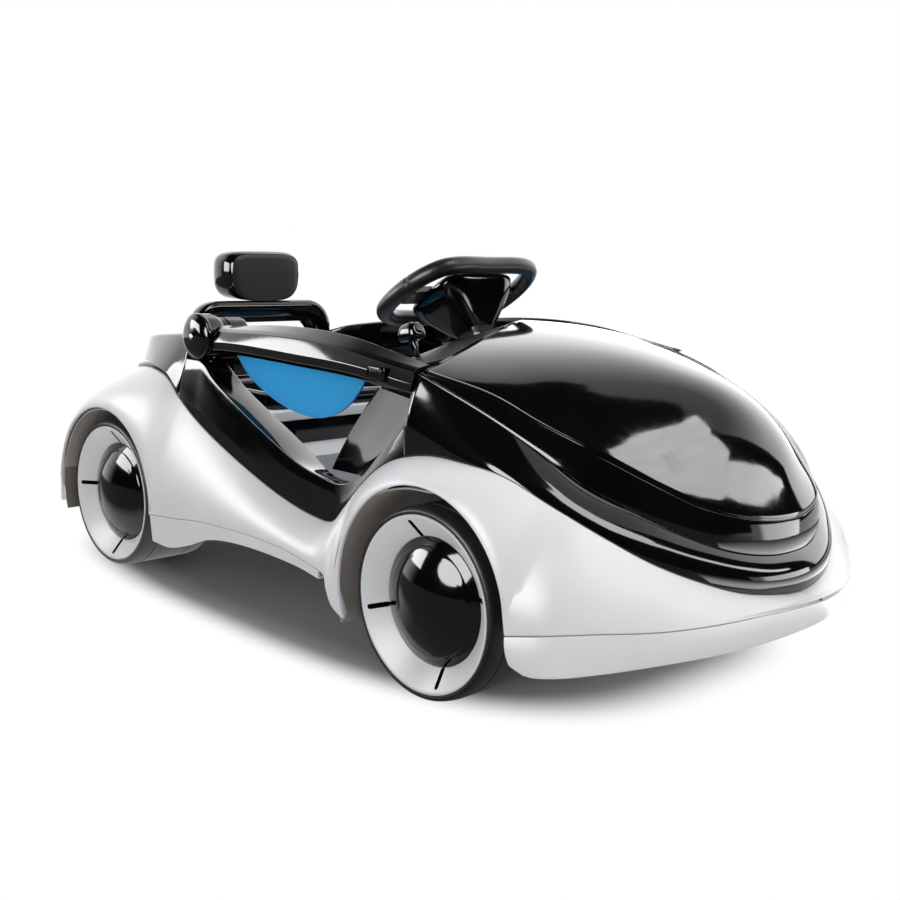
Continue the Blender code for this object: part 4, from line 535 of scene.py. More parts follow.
SIDE_SEAM = Rail([
    (-0.285, 0.313, 0.1045), (-0.220, 0.310, 0.111), (-0.170, 0.308, 0.117), (-0.078, 0.306, 0.121),
    (0.008, 0.306, 0.120), (0.070, 0.308, 0.113), (0.100, 0.311, 0.107), (0.108, 0.313, 0.092),
    (0.120, 0.314, 0.075), (0.142, 0.315, 0.066),
])
NOSE_SEAM = Rail([
    (0.391, 0.312, 0.1135), (0.430, 0.298, 0.1210), (0.468, 0.258, 0.1245), (0.502, 0.206, 0.1245),
    (0.529, 0.151, 0.1270), (0.550, 0.094, 0.1312), (0.565, 0.044, 0.1340), (0.570, 0.000, 0.1350),
], mirrored_end=True)
# Where a rib's foot on the arch, given in degrees, or on the seam meets the waist line, and its lean
REAR_ARCH_RIBS = [
    (180, -0.545, 1.0), (165, -0.530, 1.0), (150, -0.508, 1.0), (135, -0.482, 1.0), (120, -0.455, 1.0),
    (105, -0.427, 1.0), (90, -0.400, 1.0), (75, -0.372, 1.0), (60, -0.345, 1.0), (45, -0.320, 1.0),
    (30, -0.300, 1.0), (15, -0.281, 1.0), (-2, -0.262, 1.0),
]
SEAM_RIBS = [
    (-0.285, -0.250, 1.0), (-0.235, -0.215, 1.0), (-0.185, -0.172, 1.0), (-0.125, -0.120, 1.0),
    (-0.065, -0.066, 1.0), (-0.005, -0.012, 1.0), (0.045, 0.036, 1.0), (0.070, 0.060, 1.0),
    (0.0885, 0.076, 1.0), (0.101, 0.088, 0.9), (0.108, 0.096, 0.7), (0.120, 0.101, 0.5), (0.142, 0.106, 0.38),
]
FRONT_ARCH_RIBS = [
    (190, 0.112, 0.6), (178, 0.122, 0.8), (165, 0.134, 1.0), (150, 0.150, 1.0), (135, 0.170, 1.0),
    (120, 0.194, 1.0), (105, 0.222, 1.0), (90, 0.252, 1.0), (75, 0.284, 1.0), (60, 0.315, 1.0),
    (45, 0.343, 1.0), (30, 0.366, 1.0), (15, 0.384, 1.0),
]
LEVEL_IN = Vector((0.0, -1.0, 0.0))


def arch_point(centre, degrees):
    """A point on the edge of a wheel arch."""
    angle = math.radians(degrees)
    return Vector((centre[0] + ARCH_RADIUS * math.cos(angle), ARCH_HALF_WIDTH,
                   centre[1] + ARCH_RADIUS * math.sin(angle)))


def on_arch(foot):
    """Whether a rib's foot lies on the edge of a wheel arch, where the grey liner comes up to the edge."""
    return any(abs((foot - Vector((x, foot.y, z))).length - ARCH_RADIUS) < 0.001
               for x, z in (REAR_ARCH, FRONT_ARCH))


stations = []
tip = WAIST.share_at_x(-0.552)
for part in shares(0.0, 1.0, 24):
    stations.append((TAIL_FOOT.at(part), TAIL_FOOT.inward(part), tip * part, 1.0))
for degrees, waist_x, lean in between(REAR_ARCH_RIBS, 5):
    stations.append((arch_point(REAR_ARCH, degrees), LEVEL_IN, WAIST.share_at_x(waist_x), lean))
for seam_x, waist_x, lean in between(SEAM_RIBS, 4):
    foot = SIDE_SEAM.lifted(SIDE_SEAM.share_at_x(seam_x), SEAM_GAP / 2)
    stations.append((foot, LEVEL_IN, WAIST.share_at_x(waist_x), lean))
for degrees, waist_x, lean in between(FRONT_ARCH_RIBS, 5):
    stations.append((arch_point(FRONT_ARCH, degrees), LEVEL_IN, WAIST.share_at_x(waist_x), lean))
nose_start = WAIST.share_at_x(0.400)
for part in shares(0.0, 1.0, 36):
    stations.append((NOSE_SEAM.lifted(part, NOSE_GAP / 2), NOSE_SEAM.inward(part),
                     nose_start + (1.0 - nose_start) * part, 1.0))

ribs = []
for foot, inward, share, lean in stations:
    top = WAIST.lifted(share, -SEAM_GAP / 2)
    rib = [foot + inward * (ARCH_FLANGE if on_arch(foot) else LIP_FLANGE), foot]
    for part in shares(0.0, 1.0, 18)[1:-1]:
        rib.append(Vector((foot.x + (top.x - foot.x) * part ** lean, foot.y + (top.y - foot.y) * part ** 2,
                           foot.z + (top.z - foot.z) * part)))
    rib += [top, top + WAIST.inward(share) * FLANGE]
    ribs.append(eased(rib, {1: 0.0022, 18 + 1: 0.0012}))
for end in (0, -1):
    close = [Vector((point.x, SHELL_WALL * 2, point.z)) for point in ribs[end]]
    for point in ribs[end]:
        point.y = SEAM_GAP / 2
    ribs.insert(1 if end == 0 else len(ribs) - 1, close)
for side, word in SIDES:
    piece("flank_" + word, skin(ribs, (side,)), WHITE, "car",
          ["side_shell_" + word], wall=SHELL_WALL, edge=0.0004)

# ---- White skirts ----
# A strip of the same white polypropylene closes the flank under the side seam, between the wheels.
# It clips to the flank's flange, so a hairline shows between the two.
SKIRT_FOOT = Rail([
    (-0.278, 0.313, 0.0675), (-0.242, 0.311, 0.066), (-0.207, 0.310, 0.075), (-0.170, 0.308, 0.090),
    (-0.135, 0.307, 0.099), (-0.078, 0.306, 0.105), (-0.013, 0.306, 0.106), (0.048, 0.307, 0.104),
    (0.088, 0.309, 0.100),
])
last = SIDE_SEAM.share_at_x(0.0885)
ribs = []
for share in shares(0.0, last, 44):
    top = SIDE_SEAM.lifted(share, -SEAM_GAP / 2)
    foot = SKIRT_FOOT.at(share / last)
    rib = [foot + LEVEL_IN * LIP_FLANGE, foot]
    rib += [foot.lerp(top, part) for part in (0.3, 0.6)]
    rib += [top, top + LEVEL_IN * FLANGE]
    ribs.append(eased(rib, {1: 0.0030, 4: 0.0008}))
for side, word in SIDES:
    piece("skirt_" + word, skin(ribs, (side,)), WHITE, "car",
          ["side_skirt_" + word], wall=SHELL_WALL, edge=0.0004)

# ---- White lower nose ----
# One curved polypropylene strip closes the nose under the front seam, from wheel arch to wheel arch.
# It tucks under the flanks and leaves a 1 mm line.
NOSE_FOOT = Rail([
    (0.4005, 0.312, 0.084), (0.418, 0.309, 0.078), (0.440, 0.294, 0.078), (0.468, 0.249, 0.080),
    (0.497, 0.192, 0.084), (0.522, 0.135, 0.088), (0.540, 0.076, 0.092), (0.550, 0.000, 0.096),
], mirrored_end=True)
ribs = []
for part in shares(0.0, 1.0, 44):
    top = NOSE_SEAM.lifted(part, -NOSE_GAP / 2)
    foot = NOSE_FOOT.at(part)
    inward = NOSE_FOOT.inward(part) if part > 0.0 else LEVEL_IN
    rib = [foot + inward * 0.022, foot]
    rib += [foot.lerp(top, t) - inward * 0.012 * t * (1 - t) for t in shares(0.0, 1.0, 6)[1:-1]]
    rib += [top, top + NOSE_SEAM.inward(part) * FLANGE]
    ribs.append(eased(rib, {1: 0.0035, 7: 0.0008}))
to_middle(ribs[-1])
piece("lower_nose", skin(ribs, (-1, 1)), WHITE, "car", ["front_bumper"],
      wall=SHELL_WALL, edge=0.0004)

# ---- Tub ----
# The load-bearing floor, seat plinth and battery box are one white polypropylene moulding. Only the
# sill step and the plinth show through the door openings.
# Duller than the flanks, with a fine even grain
TUB_WHITE = moulded_plastic("white_tub_polypropylene", "E9E9EC", "E4E5E8", 0.40, 0.03, 1.6, 0.004)


def refinish(node, finish, edge=0.0008):
    """Gives a solid that is kept as it is its finish and small edge roundings."""
    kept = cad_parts[node]
    if kept.material_slots:
        for holder in kept.material_slots:
            holder.material = finish
    else:
        kept.data.materials.append(finish)
    round_edges(kept, edge, 50)


refinish("tub", TUB_WHITE)

# ---- Bonnet ----
# A high-gloss black ABS moulding, 2.5 mm thick, crowned across and along. A groove under its edge
# parts the top from the upright rim band. It rests on the nose band and the door frames.
# Deep glassy black: it mirrors the softboxes nearly sharp, and its waves are too faint to see
BLACK = moulded_plastic("black_high_gloss_abs", "0C0C0E", "08080A", 0.075, 0.02, 9.0, 0.0025, ior=1.53)
HOOD_EDGE = Rail([
    (0.1955, 0.248, 0.3584), (0.275, 0.222, 0.3397), (0.335, 0.206, 0.3152), (0.397, 0.184, 0.2909),
    (0.451, 0.150, 0.2631), (0.482, 0.119, 0.2440), (0.5095, 0.083, 0.2325), (0.523, 0.043, 0.2262),
    (0.528, 0.000, 0.2240),
], mirrored_end=True)
RIM_FOOT = Rail([
    (0.1960, 0.258, 0.3528), (0.285, 0.238, 0.3163), (0.340, 0.222, 0.288), (0.397, 0.200, 0.2536),
    (0.451, 0.164, 0.2258), (0.484, 0.129, 0.2065), (0.5095, 0.093, 0.1919), (0.526, 0.045, 0.1835),
    (0.531, 0.000, 0.1821),
], mirrored_end=True)
HOOD_SPINE = Rail([
    (0.115, 0.000, 0.4019), (0.160, 0.000, 0.3991), (0.220, 0.000, 0.3946), (0.280, 0.000, 0.387),
    (0.340, 0.000, 0.3744), (0.400, 0.000, 0.3591), (0.455, 0.000, 0.3428),
])
HOOD_FULLNESS = 1.7
HOOD_ROWS, HOOD_STEPS = 72, 22
FAIRING_REACH = 0.060
FAIRING_TILT = math.radians(30)
FAIRED_FROM_STEP = 7
GROOVE_DEPTH = 0.0016
GROOVE_WIDTH = 0.0018
GROOVE_DROP = 0.0034
RIM_BULGE = 0.0018


def hood_point(share, part):
    """A point on the bonnet: part 0 is on its rim, part 1 on its spine."""
    edge, spine = HOOD_EDGE.at(share), HOOD_SPINE.at(share)
    point = edge.lerp(spine, part)
    point.x = edge.x + (spine.x - edge.x) * part ** (1.5 - 0.5 * share)
    point.z = edge.z + (spine.z - edge.z) * (1 - (1 - part) ** HOOD_FULLNESS)
    return point


def faired(grid):
    """The rows of points evened out: each takes the height of a smooth patch fitted to its neighbours.

    Heights run along a line tilted forwards, so that the front isn't steep. The rim stays as it is.
    """
    out = Vector((math.sin(FAIRING_TILT), 0, math.cos(FAIRING_TILT)))
    on = Vector((math.cos(FAIRING_TILT), 0, -math.sin(FAIRING_TILT)))
    flat = numpy.array([(p.dot(on), side * p.y, p.dot(out)) for row in grid for p in row for side in (-1, 1)])
    found = []
    for row in grid:
        new_row = [row[0]]
        for k, point in enumerate(row[1:], 1):
            a, b = flat[:, 0] - point.dot(on), flat[:, 1] - point.y
            near = a * a + b * b < (2.5 * FAIRING_REACH) ** 2
            a, b = a[near], b[near]
            force = numpy.exp(-(a * a + b * b) / (2 * FAIRING_REACH * FAIRING_REACH)) ** 0.5
            terms = numpy.stack([numpy.ones_like(a), a, b, a * a, a * b, b * b], axis=1) * force[:, None]
            fit = numpy.linalg.lstsq(terms, flat[near, 2] * force, rcond=None)[0]
            share = min(k / FAIRED_FROM_STEP, 1.0)
            new_row.append(point + out * (float(fit[0]) - point.dot(out)) * share * share * (3 - 2 * share))
        found.append(new_row)
    return found


crown = faired([[hood_point(share, part) for part in shares(0.0, 1.0, HOOD_STEPS)]
                for share in shares(0.0, 1.0, HOOD_ROWS)])
ribs = []
for crown_row, share in zip(crown, shares(0.0, 1.0, HOOD_ROWS)):
    foot = RIM_FOOT.lifted(share, SEAM_GAP / 2)
    edge = HOOD_EDGE.at(share)
    inward = RIM_FOOT.inward(share)
    up = (edge - foot).normalized()
    low, high = edge - up * (GROOVE_DROP + GROOVE_WIDTH), edge - up * GROOVE_DROP
    rib = [foot + inward * FLANGE, foot]
    rib += [foot.lerp(low, t) - inward * RIM_BULGE * 4 * t * (1 - t) for t in shares(0.0, 1.0, 6)[1:-1]]
    rib += [low, low + inward * GROOVE_DEPTH, high + inward * GROOVE_DEPTH, high, edge]
    count = len(rib) - 1
    rib += crown_row[1:]
    ribs.append(eased(rib, {1: 0.0010, count - 4: 0.0006, count - 1: 0.0006, count: 0.0026}))
to_middle(ribs[-1])
piece("bonnet", skin(ribs, (-1, 1)), BLACK, "car", ["hood"],
      wall=SHELL_WALL, edge=0.0)

# ---- Nose band ----
# A glossy black strip fills the space between the bonnet's rim and the white flank, round the nose.
# Its own lower edge sits in the flank's flange.
BAND_BULGE = 0.0075
shoulder_start = WAIST.share_at_x(0.186)
PILLAR_JOINT = (0.1895, 0.300, 0.0)
DECK_JOINT = (-0.2765, 0.300, 9.0)


def joint_plane(joint, ahead):
    """The plane that takes away what is ahead of an upright joint, or behind it."""
    x, z, lean = joint
    facing = Vector((math.cos(math.radians(lean)), 0.0, -math.sin(math.radians(lean))))
    if not ahead:
        facing = -facing
    return Vector((x, 0.0, z)) - facing * SEAM_GAP / 2, facing


ribs = []
for part in shares(0.0, 1.0, 84):
    share = shoulder_start + (1.0 - shoulder_start) * part
    foot = WAIST.lifted(share, SEAM_GAP / 2)
    top = RIM_FOOT.lifted(part, -SEAM_GAP / 2)
    outward = -WAIST.inward(share)
    rib = [foot - outward * FLANGE, foot]
    rib += [foot.lerp(top, t) + outward * BAND_BULGE * 4 * t * (1 - t) for t in shares(0.0, 1.0, 8)[1:-1]]
    rib += [top, top + RIM_FOOT.inward(part) * FLANGE]
    ribs.append(eased(rib, {1: 0.0012, 9: 0.0010}))
to_middle(ribs[-1])
piece("nose_band", skin(ribs, (-1, 1), [joint_plane(PILLAR_JOINT, ahead=False)]), BLACK,
      "car", ["front_shoulder"], wall=SHELL_WALL, edge=0.0)

# ---- Door frames ----
# Sill and pillar round each door opening, one glossy black moulding with a sharp ridge. Outside the
# ridge it falls to the white flank, inside it a flat facet leads to the wall down to the floor.
FRAME_RIDGE = Rail([
    (-0.300, 0.262, 0.3240), (-0.252, 0.262, 0.3240), (-0.240, 0.262, 0.3238), (-0.225, 0.263, 0.319),
    (-0.206, 0.264, 0.305), (-0.160, 0.264, 0.2805), (-0.094, 0.264, 0.251), (-0.015, 0.264, 0.220),
    (0.032, 0.264, 0.210), (0.064, 0.264, 0.2065), (0.084, 0.264, 0.2105), (0.105, 0.264, 0.221),
    (0.130, 0.263, 0.246), (0.158, 0.262, 0.275), (0.178, 0.260, 0.300), (0.196, 0.258, 0.3260),
])
SILL_INNER = Rail([
    (-0.300, 0.222, 0.3240), (-0.252, 0.222, 0.3240), (-0.240, 0.222, 0.3232), (-0.215, 0.222, 0.310),
    (-0.190, 0.222, 0.294), (-0.130, 0.222, 0.266), (-0.076, 0.222, 0.2425), (-0.029, 0.222, 0.2205),
    (0.000, 0.222, 0.205), (0.030, 0.222, 0.2005), (0.065, 0.222, 0.2015),
])
SILL_FRONT_X = 0.060
PILLAR_FOOT_X = 0.086
FLOOR_TOP = 0.126
FLOOR_BACK_X = -0.262
ribs = []
for share in shares(WAIST.share_at_x(-0.2885), WAIST.share_at_x(0.1955), 130):
    foot = WAIST.lifted(share, SEAM_GAP / 2)
    top = FRAME_RIDGE.at(FRAME_RIDGE.share_at_x(foot.x))
    inside = SILL_INNER.at(SILL_INNER.share_at_x(min(foot.x, SILL_FRONT_X)))
    base = Vector((inside.x, inside.y + 0.003, FLOOR_TOP + SEAM_GAP))
    base.x = max(base.x, FLOOR_BACK_X + 0.3 * (base.x - FLOOR_BACK_X))
    blend = min(max((foot.x - SILL_FRONT_X) / (PILLAR_FOOT_X - SILL_FRONT_X), 0.0), 1.0)
    hook = top + Vector((-0.003, -0.011, 0.0))
    inner = inside.lerp(hook, blend)
    rib = [foot + LEVEL_IN * FLANGE, foot, foot.lerp(top, 0.33), foot.lerp(top, 0.67), top, top.lerp(inner, 0.5),
           inner, base.lerp(hook + Vector((0.008, 0.0, -0.004)), blend)]
    ribs.append(eased(rib, {1: 0.0012, 4: 0.0010, 6: 0.0020}))
for side, word in SIDES:
    piece("door_surround_" + word,
          skin(ribs, (side,), [joint_plane(DECK_JOINT, ahead=False), joint_plane(PILLAR_JOINT, ahead=True)]),
          BLACK, "car", ["door_frame_" + word], wall=SHELL_WALL, edge=0.0)

# ---- Jamb panels ----
# A hollowed glossy black ABS panel closes the front of each door opening, from the pillar to the
# dashboard. It is 2.5 mm thick and clips to the door frame.
TRIM_EDGE = Rail([
    (0.092, 0.2517, 0.2205), (0.128, 0.2512, 0.248), (0.156, 0.2502, 0.276), (0.175, 0.2487, 0.300),
    (0.185, 0.2472, 0.320),
])
TRIM_JAMB = Rail([
    (0.004, 0.2225, 0.2095), (0.014, 0.2225, 0.226), (0.036, 0.2225, 0.259), (0.062, 0.2225, 0.292),
    (0.088, 0.2225, 0.324),
])
ribs = []
for part in shares(0.0, 1.0, 30):
    outer, inner = TRIM_EDGE.at(part), TRIM_JAMB.at(part)
    ribs.append([outer.lerp(inner, t) + Vector((0.0067 * (1 - (2 * t - 1) ** 4), 0.0, 0.0))
                 for t in shares(0.0, 1.0, 14)])
for side, word in SIDES:
    piece("jamb_panel_" + word, skin(ribs, (side,)), BLACK, "car",
          ["pillar_trim_" + word], wall=SHELL_WALL, edge=0.0005)

# ---- Rear deck ----
# A 3 mm glossy black moulding runs round the back of the seat from hinge to hinge, with a small
# ledge above the white flank and a soft rounded top edge.
DECK_EDGE = Rail([
    (-0.558, 0.000, 0.318), (-0.555, 0.065, 0.319), (-0.545, 0.120, 0.322), (-0.518, 0.168, 0.328),
    (-0.472, 0.205, 0.336), (-0.415, 0.230, 0.344), (-0.355, 0.243, 0.351), (-0.310, 0.250, 0.355),
    (-0.256, 0.255, 0.357),
], mirrored_start=True)
DECK_INNER = Rail([
    (-0.520, 0.000, 0.322), (-0.518, 0.070, 0.323), (-0.508, 0.125, 0.326), (-0.485, 0.155, 0.332),
    (-0.450, 0.170, 0.344), (-0.400, 0.176, 0.353), (-0.355, 0.178, 0.359), (-0.310, 0.179, 0.362),
    (-0.256, 0.180, 0.364),
], mirrored_start=True)
DECK_LEDGE = 0.008
deck_end = WAIST.share_at_x(-0.2705)
ribs = []
for part in shares(0.0, 1.0, 80):
    share = deck_end * part
    foot = WAIST.lifted(share, SEAM_GAP / 2)
    inward = WAIST.inward(share)
    inside, edge = DECK_INNER.at(part), DECK_EDGE.at(part)
    lip = foot + Vector((0.0, 0.0, DECK_LEDGE - 0.0012))
    ledge = foot + inward * DECK_LEDGE * (1 - part) + Vector((0.0, 0.0, DECK_LEDGE))
    rib = [foot + inward * FLANGE, foot, lip, ledge, ledge.lerp(edge, 0.4), ledge.lerp(edge, 0.8), edge,
           edge.lerp(inside, 0.3), edge.lerp(inside, 0.7), inside, Vector((inside.x, inside.y, 0.2455))]
    ribs.append(eased(rib, {1: 0.0010, 2: 0.0010, 6: 0.0060, 9: 0.0040}))
to_middle(ribs[0])
piece("deck_behind_seat", skin(ribs, (-1, 1), [joint_plane(DECK_JOINT, ahead=True)]), BLACK,
      "car", ["rear_deck"], wall=0.003, edge=0.0)

# ---- Dashboard ----
# A satin black moulding reaches from the bonnet's rear edge over a rounded lip and down to the floor.
# It has holes for the column, the direction knob and the power rocker.
# Satin black: a low even shine that spreads highlights, from the fine spark grain of its tool
SATIN = moulded_plastic("black_satin_polypropylene", "121214", "0D0D0F", 0.34, 0.05, 0.9, 0.012, ior=1.49)
DASH_GAP = 0.0020
KNOB_Y = 0.150
COLUMN_TOP = Vector((-0.002, 0.0, 0.4305))
COLUMN_TILT = math.radians(55.4)
COLUMN_RADIUS = 0.005
down = Vector((math.cos(COLUMN_TILT), 0.0, -math.sin(COLUMN_TILT)))
face_up = Vector((math.sin(COLUMN_TILT), 0.0, math.cos(COLUMN_TILT)))


def dash_edge(part):
    """A point on the dashboard's front edge, a small gap behind the bonnet's."""
    edge = hood_point(0.0, part)
    edge.x -= DASH_GAP
    return edge


def dash_lip(width):
    """A point on the dashboard's rounded lip, which sweeps forwards and down towards the sides."""
    sweep = (width / 0.220) ** 2
    return Vector((0.012 + 0.070 * sweep, width, 0.357 - 0.028 * sweep))


def dash_top(y, along):
    """A point on the dashboard's top and the tilt of the face there."""
    edge, lip = dash_edge(1 - abs(y) / 0.248), dash_lip(abs(y))
    middle = edge.lerp(lip, along)
    return Vector((middle.x, y, middle.z + 0.002)), -math.atan2(edge.z - lip.z, edge.x - lip.x)


def rounded_block(low, high, reach, steps=3, matrix=None, bm=None):
    """A block with rounded edges, added to bm if one is given."""
    made = bm or bmesh.new()
    low, high = Vector(low), Vector(high)
    new = bmesh.ops.create_cube(made, size=1.0)["verts"]
    bmesh.ops.scale(made, vec=high - low, verts=new)
    bmesh.ops.translate(made, vec=(low + high) / 2, verts=new)
    if reach:
        edges = list({edge for vert in new for edge in vert.link_edges})
        new = bmesh.ops.bevel(made, geom=edges, offset=reach, segments=steps, profile=0.5, affect="EDGES")["verts"]
    if matrix is not None:
        bmesh.ops.transform(made, matrix=matrix, verts=list(set(new)))
    return made


def turned(profile, origin, axis, steps=96, bm=None, closed=False):
    """A profile of (radius, distance along the axis) points, turned about the axis through origin."""
    made = bm or bmesh.new()
    axis = Vector(axis).normalized()
    first = axis.orthogonal().normalized()
    second = axis.cross(first)
    rings = []
    for radius, reach in profile:
        middle = Vector(origin) + axis * reach
        if radius < 1e-6:
            rings.append([made.verts.new(middle)])
        else:
            rings.append([made.verts.new(middle + (first * math.cos(math.tau * k / steps)
                                                   + second * math.sin(math.tau * k / steps)) * radius)
                          for k in range(steps)])
    faces = []
    for ring, following in zip(rings, rings[1:] + rings[:1] if closed else rings[1:]):
        for k in range(steps):
            corners = [ring[k % len(ring)], ring[(k + 1) % len(ring)], following[(k + 1) % len(following)],
                       following[k % len(following)]]
            faces.append(made.faces.new(list(dict.fromkeys(corners))))
    bmesh.ops.recalc_face_normals(made, faces=faces)
    return made


def drawn(points, corners, steps=4):
    """A profile of (radius, reach) points with some corners rounded."""
    return [(p.x, p.y) for p in eased([Vector((a, b, 0.0)) for a, b in points], corners, steps)]


ribs = []
for part in shares(0.14, 1.0, 44):
    edge = dash_edge(part)
    lip = dash_lip(edge.y)
    rib = [edge, edge.lerp(lip, 0.3) + Vector((0, 0, 0.0022)), edge.lerp(lip, 0.6) + Vector((0, 0, 0.0030)), lip,
           Vector((lip.x + 0.004, lip.y, lip.z - 0.014)), Vector((0.095, lip.y, 0.250)),
           Vector((0.112, lip.y, FLOOR_TOP + SEAM_GAP))]
    ribs.append(eased(rib, {2: 0.006, 3: 0.0045, 4: 0.006}))
to_middle(ribs[-1])
seat, tilt = dash_top(-KNOB_Y, 0.76)
knob_frame = Matrix.Translation(seat) @ Matrix.Rotation(tilt, 4, "Y")
seat, tilt = dash_top(KNOB_Y, 0.55)
rocker_frame = Matrix.Translation(seat) @ Matrix.Rotation(tilt, 4, "Y")
cutters = [
    turned([(0.0, 0.060), (COLUMN_RADIUS + 0.0010, 0.060), (COLUMN_RADIUS + 0.0010, 0.150), (0.0, 0.150)],
           COLUMN_TOP, down, steps=32),
    rounded_block((-0.0130, -0.0048, -0.012), (0.0130, 0.0048, 0.012), 0.0, matrix=knob_frame),
    rounded_block((-0.0135, -0.0083, -0.012), (0.0135, 0.0083, 0.012), 0.0, matrix=rocker_frame),
]
piece("dashboard", skin(ribs, (-1, 1)), SATIN, "car", ["dash_panel"],
      wall=0.003, edge=0.0004, cutters=cutters)

# ---- Seat ----
# A black riser carries a white shelf, and on that lies a black pan with a shallow dish. The shelf is
# polypropylene, the other two are glossy ABS mouldings, and screws from below join all three.


def oval(power, steps):
    """Even steps round a shape one unit wide each way: power 1 is a circle, and near 0 it is a square."""
    turns = [math.tau * k / steps for k in range(steps)]
    return [[math.copysign(abs(value) ** power, value) for value in (math.cos(a), math.sin(a))] for a in turns]


def rounded_ring(half_x, half_y, middle, power, steps=72):
    """Points of a level ring between an oval and a rectangle."""
    return [Vector((middle[0] + half_x * u, middle[1] + half_y * v, middle[2])) for u, v in oval(power, steps)]


def lofted(rings, bm=None, finish=0, caps=(True, True)):
    """A skin over closed rings, with flat ends."""
    made = bm or bmesh.new()
    grid = [[made.verts.new(point) for point in ring] for ring in rings]
    faces = []
    count = len(grid[0])
    for ring, following in zip(grid, grid[1:]):
        for k in range(count):
            faces.append(made.faces.new((ring[k], ring[(k + 1) % count], following[(k + 1) % count], following[k])))
    if caps[0]:
        faces.append(made.faces.new(grid[0]))
    if caps[1]:
        faces.append(made.faces.new(grid[-1]))
    for face in faces:
        face.material_index = finish
    bmesh.ops.recalc_face_normals(made, faces=faces)
    return made


refinish("seat_riser", BLACK)
piece("shelf_under_seat", rounded_block((-0.466, -0.155, 0.2303), (-0.222, 0.155, 0.247), 0.004, 4), WHITE,
      "car", ["seat_shelf"], edge=0.0)
PAN_X, PAN_HALF_X, PAN_HALF_Y = -0.3445, 0.1185, 0.146
rings = [
    rounded_ring(PAN_HALF_X - inset, PAN_HALF_Y - inset, (PAN_X, 0.0, z), power)
    for inset, z, power in (
        (0.004, 0.2473, 0.16), (0.001, 0.2490, 0.16), (0.000, 0.2520, 0.16), (0.000, 0.2630, 0.16),
        (0.0012, 0.2670, 0.16), (0.0040, 0.2692, 0.17), (0.0075, 0.2700, 0.18), (0.0180, 0.2700, 0.20),
        (0.0210, 0.2692, 0.22), (0.0240, 0.2665, 0.24), (0.0275, 0.2638, 0.26), (0.0320, 0.2630, 0.28),
        (0.0600, 0.2630, 0.34), (0.1000, 0.2630, 0.50),
    )
]
piece("seat_dish", lofted(rings), BLACK, "car", ["seat_pan"], edge=0.0)

# ---- Backrest ----
# A glossy black arch stands on the pan and is open in the middle. It is a blow-moulded tube of a
# flat rounded section, 30 mm deep and about 37 mm wide.
ARCH_FRONT_X = -0.4435
ARCH_DEPTH = 0.030


def arch_line(half, top, radius, foot):
    """Points of an arch from one foot over the top to the other, with even counts along each stretch."""
    points = [Vector((0.0, -half, foot + (top - radius - foot) * k / 12)) for k in range(12)]
    points += [Vector((0.0, -half + radius - radius * math.cos(math.radians(7.5 * k)),
                       top - radius + radius * math.sin(math.radians(7.5 * k)))) for k in range(13)]
    points += [Vector((0.0, (-half + radius) * (1 - k / 6), top)) for k in range(1, 6)]
    middle = [Vector((0.0, 0.0, top))]
    return points + middle + [Vector((0.0, -p.y, p.z)) for p in points[::-1]]


outer = arch_line(0.136, 0.389, 0.045, 0.2703)
inner = arch_line(0.098, 0.354, 0.028, 0.2703)
rings = []
for a, b in zip(outer, inner):
    middle, reach = (a + b) / 2, (a - b) / 2
    rings.append([middle + reach * u + Vector((ARCH_FRONT_X - ARCH_DEPTH / 2 + ARCH_DEPTH / 2 * v, 0, 0))
                  for u, v in oval(0.5, 32)])
piece("seat_back_arch", lofted(rings), BLACK, "car", ["backrest_arch"], edge=0.0)

# ---- Headrest ----
# A hollow glossy black shell with a softer satin pad let into its front, like a small pillow. It
# sits on the top of the arch.
REST_FRONT, REST_BACK = -0.446, -0.508
REST_LOW, REST_HIGH = 0.3893, 0.469
REST_HALF = 0.072
REST_TAPER = 0.16
rings = []
for part, scale, power in (
        (0.00, 0.70, 0.62), (0.03, 0.82, 0.55), (0.10, 0.92, 0.48), (0.22, 0.975, 0.44), (0.40, 1.00, 0.42),
        (0.62, 1.00, 0.42), (0.80, 0.985, 0.42), (0.90, 0.955, 0.43), (0.955, 0.925, 0.44), (0.975, 0.905, 0.45),
        (0.965, 0.895, 0.45), (0.975, 0.880, 0.46), (0.992, 0.830, 0.48), (1.000, 0.740, 0.50),
        (1.000, 0.550, 0.55), (0.998, 0.300, 0.62)):
    x = REST_BACK + (REST_FRONT - REST_BACK) * part
    half_z = (REST_HIGH - REST_LOW) / 2
    ring = []
    for u, v in oval(power, 72):
        z = half_z * v * (scale if v > 0 else 1.0)
        taper = 1.0 - REST_TAPER * max(0.0, -z / half_z) ** 2
        ring.append(Vector((x, REST_HALF * scale * taper * u, (REST_HIGH + REST_LOW) / 2 + z)))
    rings.append(ring)
bm = lofted(rings[:11], caps=(True, False))
lofted(rings[10:], bm=bm, finish=1, caps=(False, True))
bmesh.ops.remove_doubles(bm, verts=bm.verts, dist=0.00001)
# Soft-touch pad: fine leather-like grain about a millimetre wide, hardly any mirror
PAD = moulded_plastic("soft_touch_black_pad", "1A1A1C", "131315", 0.42, 0.06, 1.1, 0.035, ior=1.47)
piece("head_pillow", bm, [BLACK, PAD], "car", ["headrest"], edge=0.0)

